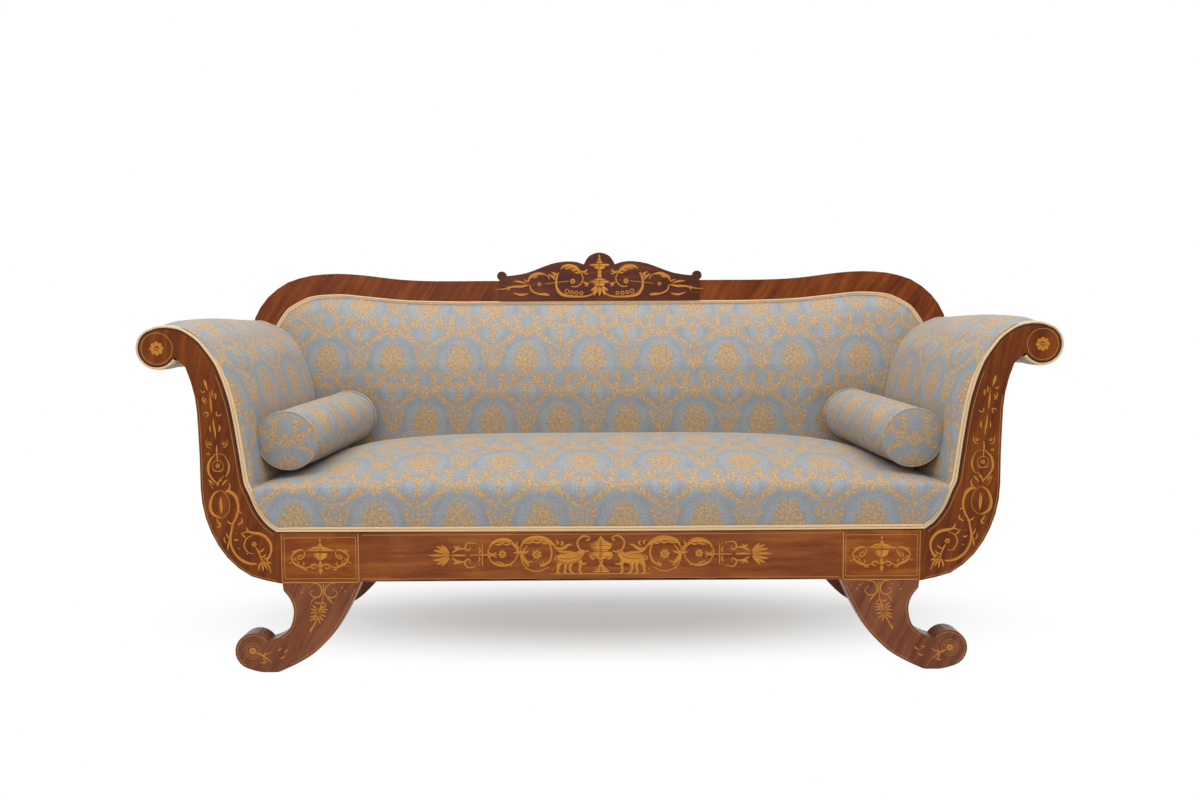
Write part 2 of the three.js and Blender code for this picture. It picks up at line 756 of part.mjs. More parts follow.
function lashing(y) {
  const last = (springsPerSide - 1 / 2) * springPitch + springRadius;
  const knot = baseHalfLength - railThickness;
  const z = springTop - springWire / 2;
  const right = [point(0, z), point(last, z), point(knot, railTop + gap + lashingThickness / 2)];
  const path = [...flipped(right), ...right.slice(1)];
  const twine = strip(path, -lashingThickness / 2, lashingThickness / 2);
  return prism(twine, y - lashingThickness / 2, y + lashingThickness / 2);
}

function springRow(row) {
  const y = springRowStart + row * springRowPitch;
  const coils = springCentres().map((x) => spring(x, y));
  return joined([lashing(y), ...coils]).trimByPlane([0, 0, 1], springFoot);
}

function seatWebbing() {
  const z1 = railUnderside - gap;
  const z0 = z1 - webThickness;
  const half = webWidth / 2;
  const end = baseHalfLength - seam;
  const long = Array.from({ length: springRows }, (_, row) => {
    const y = springRowStart + row * springRowPitch;
    return box(-end, end, y - half, y + half, z0, z1);
  });
  const columns = springsPerSide * 2 - 1;
  const across = Array.from({ length: columns * 2 + 1 }, (_, i) => (i - columns) * springPitch / 2);
  const short = across.filter((x) => Math.abs(x) + half < baseHalfLength - railThickness).map((x) => {
    const underBlock = Math.abs(x) + half > blockInner - gap;
    const front = underBlock ? legThickness + gap : gimpRebate;
    const back = underBlock ? rearLegFace - gap : baseDepth - gimpRebate;
    return box(x - half, x + half, front, back, z0, z1);
  });
  return joined([...long, ...short]);
}

function bottomCloth() {
  const z1 = railUnderside - gap - webThickness - gap;
  const z0 = z1 - bottomClothThickness;
  const end = blockInner - gap;
  const middle = box(-end, end, gimpRebate - bite, baseDepth - gimpRebate + bite, z0, z1);
  const wide = baseHalfLength - gimpRebate;
  return middle.add(box(-wide, wide, legThickness + gap, rearLegFace - gap, z0, z1));
}

function hessianForm(grow, foot) {
  const x1 = baseHalfLength - gap - gap + grow;
  const y0 = legThickness + gap + gap - grow;
  const y1 = baseDepth - railThickness - gap - gap + grow;
  const ring = (z) => {
    const share = (z - railTop - gap) / (hessianTop - railTop - gap);
    const x = x1 - share * hessianEndSlope;
    const [front, back] = [y0 + share * hessianLongSlope, y1 - share * hessianLongSlope];
    return [[-x, front, z], [x, front, z], [x, back, z], [-x, back, z]];
  };
  return loft([ring(foot), ring(hessianTop + grow)]);
}

function seatHessian() {
  return hessianForm(0, railTop + gap).subtract(hessianForm(-hessianThickness, railTop - overrun));
}

// Seat upholstery
// Back from the front edge, and up from that edge as a share of the crown
const seatTopShares = [
  [0.013, 0.09], [0.051, 0.264], [0.1, 0.43], [0.169, 0.593], [0.26, 0.74], [0.338, 0.846],
  [0.45, 0.94], [0.591, 1], [0.7, 0.96], [0.828, 0.846], [1, 0.6],
];
// Up the front from the rail, and forward as a share of the bulge
const seatFrontShares = [[0, -0.5], [0.18, 0.1], [0.4, 0.8], [0.62, 1], [0.82, 0.7], [0.95, 0.05]];
const seatStationShares = [0, 0.25, 0.48, 0.65, 0.78, 0.87, 0.93, 0.97, 1];
const seatCrownPower = 4.5;
const seatEndShare = 0.1; // crown left at the arms

function seatRing(share) {
  const x = share * seatHalfLength;
  const depth = backFace - gap;
  const crown = seatEndShare + (1 - seatEndShare) * (1 - Math.abs(share) ** seatCrownPower);
  const front = seatFrontShares.map(([v, u]) => {
    return [x, -u * seatFrontBulge, railTop + gap + v * (seatEdgeHeight - railTop)];
  });
  const top = seatTopShares.map(([u, v]) => [x, u * depth, seatEdgeHeight + v * crown * seatCrown]);
  return [...front, ...top, [x, depth, railTop + gap]];
}

function seatForm() {
  const left = seatStationShares.slice(1).reverse().map((share) => -share);
  return loft([...left, ...seatStationShares].map(seatRing));
}

function seatPad() {
  const side = offset(gimpRight, gap).filter((p) => p.y < seatEdgeHeight + seatCrown);
  const lid = point(side[side.length - 1].x, seatEdgeHeight + seatCrown + overrun);
  const right = [...side, lid];
  const field = prism([...right, ...flipped(right)], -seatFrontBulge - overrun, baseDepth);
  const ledge = box(-baseHalfLength, baseHalfLength, gimpRebate, legThickness + gap,
    railTop - bite, railTop + gimpWidth);
  const sides = [facing(gap), armForm(gap), bolsterForm(gap)];
  const middle = [ledge, seatGimp(gap), backPadForm(gap), hessianForm(gap, railTop - bite)];
  return mainBody(lessAll(seatForm().intersect(field), [...middle, ...sides, ...sides.map(mirrored)]));
}

// Bolsters
function turned(profile) {
  const points = profile.map(([radius, along]) => point(radius, along));
  return solidFromGeometry(new THREE.LatheGeometry(points, 28));
}

function laid(solid) {
  return solid.rotate([bolsterPitchDegrees, 0, bolsterYawDegrees])
    .translate([bolsterOut, bolsterBack, bolsterUp]);
}

function drum(radius, end) {
  return [[0, -end], [radius, -end], [radius, end], [0, end]];
}

function bolsterForm(grow) {
  const end = bolsterLength / 2 + grow;
  const radius = bolsterRadius + grow;
  return laid(turned(drum(radius, end)));
}

const bolsterCaseEnd = bolsterLength / 2 - bolsterDisc - gap;
const bolsterSwellShare = 0.8; // part of the case that has its full radius
const discShoulderShares = [0.7, 0.6]; // of the disc's radius, and the height of its crown there

function bolsterCase() {
  const inner = bolsterRadius - bolsterWall;
  const ends = bolsterRadius - bolsterDraw;
  const swell = bolsterCaseEnd * bolsterSwellShare;
  const start = [inner, -bolsterCaseEnd];
  const swelling = [[ends, -bolsterCaseEnd], [bolsterRadius, -swell], [bolsterRadius, swell]];
  return laid(turned([start, ...swelling, [ends, bolsterCaseEnd], [inner, bolsterCaseEnd], start]));
}

function bolsterFilling() {
  const radius = bolsterRadius - bolsterWall - gap;
  return laid(turned(drum(radius, bolsterCaseEnd)));
}

// A disc sewn to an end of the case, with a low crown
function bolsterDiscAt(side) {
  const radius = bolsterRadius - bolsterDraw;
  const seat = bolsterLength / 2 - bolsterDisc;
  const rim = bolsterLength / 2;
  const shoulder = [radius * discShoulderShares[0], rim + bolsterCrown * discShoulderShares[1]];
  const profile = [[0, seat], [radius, seat], [radius, rim], shoulder, [0, rim + bolsterCrown]];
  const disc = turned(profile);
  return laid(side < 0 ? disc.mirror([0, 1, 0]) : disc);
}

// Finishes
function finish(color, roughness, metalness = 0) {
  return new THREE.MeshStandardMaterial({ color, roughness, metalness });
}

const mahogany = finish(0x7a3b1c, 0.3);
const beech = finish(0xb08a5c, 0.7);
const lampas = finish(0x98a2a4, 0.75);
const gimpCord = finish(0xdcc38e, 0.8);
const hessian = finish(0xa58c60, 0.95);
const horsehair = finish(0x4c4038, 0.95);
const springSteel = finish(0x8d8f92, 0.4, 0.9);

const parts = [];

function addPart(name, solid, material) {
  parts.push({ name, solid, material });
}

function addPair(name, solid, material) {
  addPart(`${name}_right`, solid, material);
  addPart(`${name}_left`, mirrored(solid), material);
}

function addBase() {
  addPart('front_rail', frontRail(), mahogany);
  addPart('rear_rail', rearRail(), beech);
  addPair('side_rail', sideRail(), beech);
  addPair('cross_rail', crossRail(), beech);
  addPair('front_block', legBlock(frontFace, true), mahogany);
  addPair('rear_block', legBlock(rearLegFace, false), mahogany);
  addPair('front_leg', leg(frontFace), mahogany);
  addPair('rear_leg', leg(rearLegFace), mahogany);
  addPair('front_leg_dowel', dowel(frontFace, dowelRadius, dowelLength), beech);
  addPair('rear_leg_dowel', dowel(rearLegFace, dowelRadius, dowelLength), beech);
}

function addArms() {
  addPair('arm_facing', facing(0), mahogany);
  addPair('arm_rear_board', rearBoard(0), beech);
  addPair('arm_roll_rail', rollRail(0), beech);
  addPair('arm_lower_rail', lowerRail(), beech);
  addPair('arm_hessian', armHessian(), hessian);
  addPair('arm_pad', armPad(), lampas);
  addPair('arm_outer_cover', armCover(), lampas);
  addPart('seat_gimp', seatGimp(0), gimpCord);
}

function addBack() {
  addPart('back_crest_rail', crestRail(), mahogany);
  addPart('back_cartouche', cartouche(), mahogany);
  addPair('back_stile', stile(), beech);
  addPart('back_bottom_rail', bottomRail(), beech);
  addPart('back_muntin', muntin(), beech);
  addPart('back_hessian', backHessian(), hessian);
  addPart('back_pad', backPad(), lampas);
  addPart('back_gimp', backGimp(), gimpCord);
  addPart('back_outer_cover', backCover(), lampas);
}

function addSeat() {
  addPart('seat_webbing', seatWebbing(), hessian);
  for (let row = 0; row < springRows; row += 1) {
    addPart(`seat_spring_row_${row + 1}`, springRow(row), springSteel);
  }
  addPart('seat_hessian', seatHessian(), hessian);
  addPart('seat_pad', seatPad(), lampas);
  addPart('seat_bottom_cloth', bottomCloth(), hessian);
}

function addBolsters() {
  addPair('bolster_case', bolsterCase(), lampas);
  addPair('bolster_front_disc', bolsterDiscAt(-1), lampas);
  addPair('bolster_back_disc', bolsterDiscAt(1), lampas);
  addPair('bolster_filling', bolsterFilling(), horsehair);
}

addBase();
addArms();
addBack();
addSeat();
addBolsters();

// The finished part stands on z = 0 with the middle of its box over the origin
function assemble() {
  const bounds = new THREE.Box3();
  for (const { solid } of parts) {
    const { min, max } = solid.boundingBox();
    bounds.expandByPoint(new THREE.Vector3(...min)).expandByPoint(new THREE.Vector3(...max));
  }
  const middle = bounds.getCenter(new THREE.Vector3());
  const group = new THREE.Group();
  for (const { name, solid, material } of parts) {
    const mesh = new THREE.Mesh(geometryFromSolid(solid), material.clone());
    mesh.geometry.translate(-middle.x, -middle.y, -bounds.min.z);
    mesh.name = name;
    group.add(mesh);
  }
  return group;
}

const recamier = assemble();
export default recamier;
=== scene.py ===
from math import radians

import bpy
import numpy as np
from mathutils import Matrix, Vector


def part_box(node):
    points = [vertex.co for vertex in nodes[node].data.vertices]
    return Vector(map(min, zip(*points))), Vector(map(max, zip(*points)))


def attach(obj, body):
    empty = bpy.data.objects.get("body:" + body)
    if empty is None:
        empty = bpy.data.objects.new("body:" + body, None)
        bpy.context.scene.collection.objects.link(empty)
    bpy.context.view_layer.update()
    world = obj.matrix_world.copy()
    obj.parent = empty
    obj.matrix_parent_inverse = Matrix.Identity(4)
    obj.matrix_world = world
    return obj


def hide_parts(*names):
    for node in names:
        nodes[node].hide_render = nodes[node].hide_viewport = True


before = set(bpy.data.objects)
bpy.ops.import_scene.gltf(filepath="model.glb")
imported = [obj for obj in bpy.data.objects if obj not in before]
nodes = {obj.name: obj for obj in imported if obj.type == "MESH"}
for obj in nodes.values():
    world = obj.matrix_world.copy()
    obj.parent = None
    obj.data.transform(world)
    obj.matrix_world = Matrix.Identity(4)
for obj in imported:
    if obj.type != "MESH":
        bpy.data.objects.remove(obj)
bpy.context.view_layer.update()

# Lengths below are in millimetres: x across, depth back from the front faces, z up
mm = 0.001
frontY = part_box("front_rail")[0][1]

sofa = {
    "railTop": 350.5,
    "legHeight": 224.0,
    "baseHalfLength": 791.0,
    "blockWidth": 195.0,
    "scrollX": 1079.5,
    "scrollZ": 807.0,
    "scrollRadius": 46.5,
    "backFace": 598.0,
    "backRake": 5.0,
    "backHalfWidth": 1028.0,
    "openingHalfWidth": 967.0,
    "shoulderZ": 850.0,
    "crestZ": 982.0,
    "crestFace": 60.0,
}
rakeSlope = np.tan(radians(sofa["backRake"]))


def leaning(z, offset=0.0):
    # Depth on the leaning back at a height, forward of its wooden face where offset is negative
    return sofa["backFace"] + offset + (z - sofa["railTop"]) * rakeSlope


def smoothStep(x, low, high):
    t = np.clip((x - low) / (high - low), 0, 1)
    return t * t * (3 - 2 * t)


def evenLine(points, count):
    # The same line with its points at equal distances along it
    run = np.concatenate([[0], np.cumsum(np.linalg.norm(np.diff(points, axis=0), axis=1))])
    at = np.linspace(0, run[-1], count)
    return np.stack([np.interp(at, run, points[:, k]) for k in range(points.shape[1])], axis=1)


def smoothLine(points, count):
    # A Catmull-Rom curve through the points, evenly spaced
    p = np.asarray(points, float)
    p = np.vstack([p[:1], p, p[-1:]])
    last = len(p) - 3
    t = np.linspace(0, last, 24 * last + 1)
    i = np.minimum(t.astype(int), last - 1)
    f = (t - i)[:, None]
    a, b, c, d = p[i], p[i + 1], p[i + 2], p[i + 3]
    into, out = (c - a) / 2, (d - b) / 2
    fine = (2 * b - 2 * c + into + out) * f**3 + (-3 * b + 3 * c - 2 * into - out) * f**2 + into * f + b
    return evenLine(fine, count)


def leftNormals(line):
    along = np.gradient(line, axis=0)
    along /= np.linalg.norm(along, axis=1, keepdims=True)
    return np.stack([-along[:, 1], along[:, 0]], axis=1)


def arcLine(centre, radius, fromDegrees, toDegrees, count):
    a = np.radians(np.linspace(fromDegrees, toDegrees, count))
    return np.stack([centre[0] + radius * np.cos(a), centre[1] + radius * np.sin(a)], axis=1)


def runAlong(line):
    return np.concatenate([[0], np.cumsum(np.linalg.norm(np.diff(line, axis=0), axis=1))])


# The S of an arm and the opening of the back, from the same shares as the frame
innerShares = [
    (0.031, 0.004), (0.107, 0.041), (0.163, 0.084), (0.211, 0.134), (0.262, 0.213), (0.299, 0.268),
    (0.319, 0.352), (0.357, 0.526), (0.390, 0.656), (0.421, 0.742), (0.463, 0.830), (0.519, 0.916),
    (0.612, 1.002), (0.670, 1.044),
]
rollShares = [(-1.46, 0.85), (-1.03, 1.02), (-0.51, 1.09), (0, 1.05)]
outerShares = [
    (0, 0), (0.211, 0.024), (0.317, 0.051), (0.438, 0.103), (0.546, 0.180), (0.630, 0.283),
    (0.663, 0.386), (0.665, 0.539), (0.677, 0.741), (0.698, 0.816), (0.725, 0.868), (0.760, 0.918),
    (0.803, 0.948),
]
crestInnerShares = [
    (1, 0), (0.986, 0.306), (0.964, 0.708), (0.936, 0.958), (0.907, 1.153), (0.883, 1.250), (0.847, 1.306),
    (0.788, 1.319), (0.716, 1.222), (0.625, 1.097), (0.557, 1.042), (0.445, 1.004), (0.352, 1), (0.16, 1),
]
sideInnerShares = [
    (0.903, -0.02), (0.918, 0.154), (0.934, 0.295), (0.943, 0.497), (0.960, 0.698), (0.982, 0.859), (1, 1),
]
across = sofa["scrollX"] - sofa["baseHalfLength"]
scrollMiddle = (sofa["scrollX"], sofa["scrollZ"])
scrollArc = arcLine(scrollMiddle, sofa["scrollRadius"], 60, -154, 60)


def placed(shares, x0, dx, z0, dz):
    return [(x0 + u * dx, z0 + v * dz) for u, v in shares]


armInner = smoothLine(
    placed(innerShares, sofa["baseHalfLength"], across, sofa["railTop"], sofa["scrollZ"] - sofa["railTop"])
    + placed(rollShares, sofa["scrollX"], sofa["scrollRadius"], sofa["scrollZ"], sofa["scrollRadius"])
    + [tuple(scrollArc[0])], 150)
armOuter = smoothLine(
    placed(outerShares, sofa["baseHalfLength"], across, sofa["legHeight"],
           sofa["scrollZ"] - sofa["legHeight"])
    + [tuple(scrollArc[-1])], 120)
armSpine = evenLine(np.vstack([armInner, scrollArc[1:]]), 260)

crestRight = placed(crestInnerShares, 0, sofa["openingHalfWidth"], sofa["shoulderZ"],
                    sofa["crestZ"] - sofa["crestFace"] - sofa["shoulderZ"])
crestInner = smoothLine(crestRight + [(-x, z) for x, z in crestRight[::-1]], 240)
sideInner = smoothLine(placed(sideInnerShares, 0, sofa["openingHalfWidth"], sofa["railTop"],
                              sofa["shoulderZ"] - sofa["railTop"]), 60)


def addNode(tree, kind, inputs=None, stops=None, **settings):
    # Adds a shader node; an input is a number, a colour or the socket it is linked from
    node = tree.nodes.new("ShaderNode" + kind)
    for name, value in settings.items():
        setattr(node, name, value)
    if stops:
        for element, (at, colour) in zip(node.color_ramp.elements, stops):
            element.position, element.color = at, colour
        for at, colour in stops[2:]:
            node.color_ramp.elements.new(at).color = colour
    for key, value in (inputs or {}).items():
        if isinstance(value, bpy.types.NodeSocket):
            tree.links.new(value, node.inputs[key])
        else:
            node.inputs[key].default_value = value
    return node


def hexColour(code):
    # sRGB hex to linear
    parts = [int(code[i:i + 2], 16) / 255 for i in (1, 3, 5)]
    return [c / 12.92 if c <= 0.04045 else ((c + 0.055) / 1.055) ** 2.4 for c in parts] + [1.0]


def maths(tree, operation, *values):
    return addNode(tree, "Math", dict(enumerate(values)), operation=operation).outputs[0]


def vectorMaths(tree, operation, *values, output=0):
    return addNode(tree, "VectorMath", dict(enumerate(values)), operation=operation).outputs[output]


def mapRange(tree, *values, **settings):
    # A value, its low and its high, and what these two become, which is 0 and 1 where left out
    return addNode(tree, "MapRange", dict(enumerate(values)), **settings).outputs[0]


def noise(tree, place, scale, detail, output="Fac", **settings):
    inputs = {"Vector": place, "Scale": scale, "Detail": detail}
    return addNode(tree, "TexNoise", inputs, **settings).outputs[output]


def mixColours(tree, factor, first, second):
    inputs = {"Factor": factor, "A": first, "B": second}
    return addNode(tree, "Mix", inputs, data_type="RGBA").outputs["Result"]


def colourRamp(tree, value, stops):
    coloured = [(at, hexColour(code)) for at, code in stops]
    return addNode(tree, "ValToRGB", {0: value}, stops=coloured).outputs[0]


def clothPlace(tree):
    # Where a point lies on the flat cloth, in mm
    uv = addNode(tree, "UVMap", uv_map="clothMap").outputs[0]
    return addNode(tree, "VectorMath", {0: uv, "Scale": 1000.0}, operation="SCALE").outputs[0]


def finishSurface(tree, shader, colour, height, strength, distance):
    # Gives the surface its colour and its fine relief; the distance is in metres
    tree.links.new(colour, shader.inputs["Base Color"])
    bump = addNode(tree, "Bump", {"Height": height, "Strength": strength, "Distance": distance}).outputs[0]
    tree.links.new(bump, shader.inputs["Normal"])


def seenDirectly(tree):
    # 1 where the camera sees a thing itself, also by reflection, and 0 where it only gives light
    rays = addNode(tree, "LightPath").outputs
    seen = maths(tree, "MAXIMUM", rays["Is Camera Ray"], rays["Is Glossy Ray"])
    return maths(tree, "MAXIMUM", seen, rays["Is Transmission Ray"])


def newMaterial(name, roughness, **surface):
    material = bpy.data.materials.new(name)
    material.use_nodes = True
    tree = material.node_tree
    shader = tree.nodes["Principled BSDF"]
    shader.inputs["Roughness"].default_value = roughness
    for key, value in surface.items():
        shader.inputs[key.replace("_", " ")].default_value = value
    return material, tree, shader


def addMesh(name, points, faces, material, body, clothUv=None, smooth=True):
    # points in mm as x, depth, z; clothUv holds one pair for each corner of each face
    mesh = bpy.data.meshes.new(name)
    spots = np.stack([points[:, 0] * mm, frontY + points[:, 1] * mm, points[:, 2] * mm], axis=1)
    mesh.from_pydata(spots.tolist(), [], faces)
    if clothUv is not None:
        layer = mesh.uv_layers.new(name="clothMap")
        layer.data.foreach_set("uv", np.asarray(clothUv, np.float32).ravel())
    mesh.polygons.foreach_set("use_smooth", np.full(len(mesh.polygons), smooth))
    mesh.materials.append(material)
    mesh.update()
    piece = bpy.data.objects.new(name, mesh)
    bpy.context.scene.collection.objects.link(piece)
    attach(piece, body)
    return piece


def gridFaces(rows, columns, wrapRows=False, wrapColumns=False):
    down, over = np.arange(rows - (not wrapRows)), np.arange(columns - (not wrapColumns))
    i, j = (k.ravel() for k in np.meshgrid(down, over, indexing="ij"))
    corners = [(i, j), (i + 1, j), (i + 1, j + 1), (i, j + 1)]
    faces = np.stack([a % rows * columns + b % columns for a, b in corners], axis=1)
    return faces, corners


def volumeOf(points, faces):
    a, b, c, d = (points[faces[:, k]] for k in range(4))
    return float((np.cross(a, b) * c).sum() + (np.cross(a, c) * d).sum())


def gridPiece(name, grid, material, body, cloth=None, wrapRows=False, wrapColumns=False, ends=None,
              inward=False):
    # A surface over a grid of points. ends closes a tube: "zip" joins the two halves of each end
    # ring, "fan" joins the ring to its middle. inward turns an open sheet over.
    rows, columns = grid.shape[:2]
    points = grid.reshape(-1, 3)
    faces, corners = gridFaces(rows, columns, wrapRows, wrapColumns)
    flip = volumeOf(points, faces) < 0 if (wrapRows or wrapColumns) else inward
    uv = None if cloth is None else np.stack([cloth[a, b] for a, b in corners], axis=1)
    if flip:
        faces = faces[:, ::-1]
        uv = None if uv is None else uv[:, ::-1]
    faceList = faces.tolist()
    uvList = [] if uv is None else [uv.reshape(-1, 2)]
    for row in ((0, rows - 1) if ends else ()):
        ring = row * columns + np.arange(columns)
        turn = (row == 0) != flip
        if ends == "zip":
            k = np.arange(columns // 2 - 1)
            caps = np.stack([ring[k], ring[k + 1], ring[columns - 2 - k], ring[columns - 1 - k]], axis=1)
        else:
            middle = len(points)
            points = np.vstack([points, points[ring].mean(axis=0)])
            caps = np.stack([ring, np.roll(ring, -1), np.full(columns, middle)], axis=1)
        if not turn:
            caps = caps[:, ::-1]
        faceList += caps.tolist()
        if uv is not None:
            uvList.append(points[caps.ravel()][:, [0, 2]] * mm)
    return addMesh(name, points, faceList, material, body, np.vstack(uvList) if uvList else None)


# Silk lampas: a grey-blue satin ground with the design woven in ochre, which gives a soft sheen
lampas = {
    "repeatWidth": 200.0,  # mm between two columns of bouquets
    "repeatHeight": 374.0,
    "repeatFoot": -226.0,  # mm from the bouquet's middle down to where a repeat starts
    "ground": "#9EA3A6",
    "groundDeep": "#8E9295",
    "halo": "#ADB3B8",  # the paler ground inside the rope rings
    "design": "#B58E57",
    "designLight": "#D3AC73",
    "rope": "#858B91",
    "threadPitch": 1.3,  # mm; real threads are 0.4 mm apart, too fine to show here
    "petalSize": 9.5,  # mm
    "wander": 7.0,  # mm by which the weaver's hand moves the drawing about
    "ragged": 2.2,  # how far the grain of the weave breaks up the outlines
    "figureEdge": (2.56, 2.3),
    "leafEdge": (3.0, 2.7),
    "ropeStrength": 0.42,
    "haloStrength": 0.5,
}
# One half of the mirrored design, about the bouquet's middle: across, up, half sizes and turn in degrees
designMarks = [
    (0, 0, 20, 26, 0), (20, -5, 12, 14, 0), (0, 29, 9, 11, 0), (14, 20, 9, 11, -20), (26, -18, 9, 6, 20),
    (10, -30, 11, 7, 0), (29, 9, 7, 4, 20), (17, 37, 4, 7, -20), (0, 44, 4, 7, 0), (37, -8, 5, 3, 0),
    (0, -50, 2.6, 15, 0), (8, -46, 7, 3, 35), (33, -62, 9, 13, 20), (21, -74, 7, 4, 0), (42, -46, 6, 4, 35),
    (34, -80, 4, 7, 0), (24, -56, 4, 5, 0), (0, -98, 5, 21, 0), (0, -76, 11, 4, 0), (9, -87, 4, 7, -35),
    (0, -122, 9, 4, 0), (0, -134, 4, 9, 0), (13, -147, 13, 4, 35), (29, -135, 13, 5, 35),
    (45, -123, 13, 6, 35), (60, -111, 10, 7, 50), (26, -178, 3.6, 17, -20), (13, -178, 2.8, 16, -10),
    (0, -180, 3, 17, 0), (0, -201, 19, 7.5, 0), (0, -212, 12, 4, 0), (0, -221, 4, 6, 0),
    (29, -160, 6, 4, 35), (44, -168, 5, 4, 0), (27, 120, 6.5, 24, 0), (21, 146, 7, 5, 20),
    (33, 99, 7, 7, 0), (38, 139, 4, 6, -35), (0, 84, 18, 7.5, 0), (23, 89, 13, 6.5, 20),
    (41, 99, 11, 6, 35), (54, 111, 10, 5, 50), (0, 74, 8, 5, 0), (0, 99, 8, 6, 0),
]
ropeRings = [(0, -6, 66, 70, -34), (0, -98, 36, 38, -170)]  # across, up, half sizes, lowest height
# Where one column of the design ends and the next begins, in mm from its axis, up half a repeat
columnEdge = [
    46, 30, 22, 23, 25, 25, 28, 30, 31, 37, 38, 37, 33, 33, 40, 48, 58, 71, 79, 79, 73, 58, 48, 44, 41, 39,
    42, 52, 54, 51, 52,
]


def designGroup():
    # The least of each mark's distance over its size is under 1 inside the design
    tree = bpy.data.node_groups.new("lampasDesign", "ShaderNodeTree")
    for name, kind, way in (("Place", "NodeSocketVector", "INPUT"), ("Design", "NodeSocketFloat", "OUTPUT"),
                            ("Rope", "NodeSocketFloat", "OUTPUT"), ("Halo", "NodeSocketFloat", "OUTPUT")):
        tree.interface.new_socket(name, in_out=way, socket_type=kind)
    place = tree.nodes.new("NodeGroupInput").outputs["Place"]

    def reachOf(spot, x, z, w, h):
        local = vectorMaths(tree, "MULTIPLY_ADD", spot, (1 / w, 1 / h, 0), (-x / w, -z / h, 0))
        return vectorMaths(tree, "LENGTH", local, output="Value")

    nearest = 9.0
    for turn in sorted({mark[4] for mark in designMarks}):
        # the design turned once for all the marks that lean by the same angle
        c, s = np.cos(radians(turn)), np.sin(radians(turn))
        turned = addNode(tree, "VectorRotate", {"Vector": place, "Angle": radians(-turn)},
                         rotation_type="Z_AXIS").outputs[0] if turn else place
        for x, z, w, h, lean in designMarks:
            if lean == turn:
                reach = reachOf(turned, x * c + z * s, z * c - x * s, w, h)
                nearest = maths(tree, "MINIMUM", reach, nearest)
    height = addNode(tree, "SeparateXYZ", {0: place}).outputs["Y"]
    rope, halo = 9.0, 9.0
    for x, z, w, h, low in ropeRings:
        reach = reachOf(place, x, z, w, h)
        halo = maths(tree, "MINIMUM", reach, halo)
        off = maths(tree, "SUBTRACT", reach, 1.0)
        size = maths(tree, "ABSOLUTE", off)
        band = maths(tree, "MULTIPLY", size, w / 2.4)
        below = maths(tree, "LESS_THAN", height, float(low))
        shut = maths(tree, "MULTIPLY_ADD", below, 9.0, band)
        rope = maths(tree, "MINIMUM", shut, rope)
    end = tree.nodes.new("NodeGroupOutput")
    tree.links.new(nearest, end.inputs["Design"])
    tree.links.new(rope, end.inputs["Rope"])
    tree.links.new(halo, end.inputs["Halo"])
    return tree


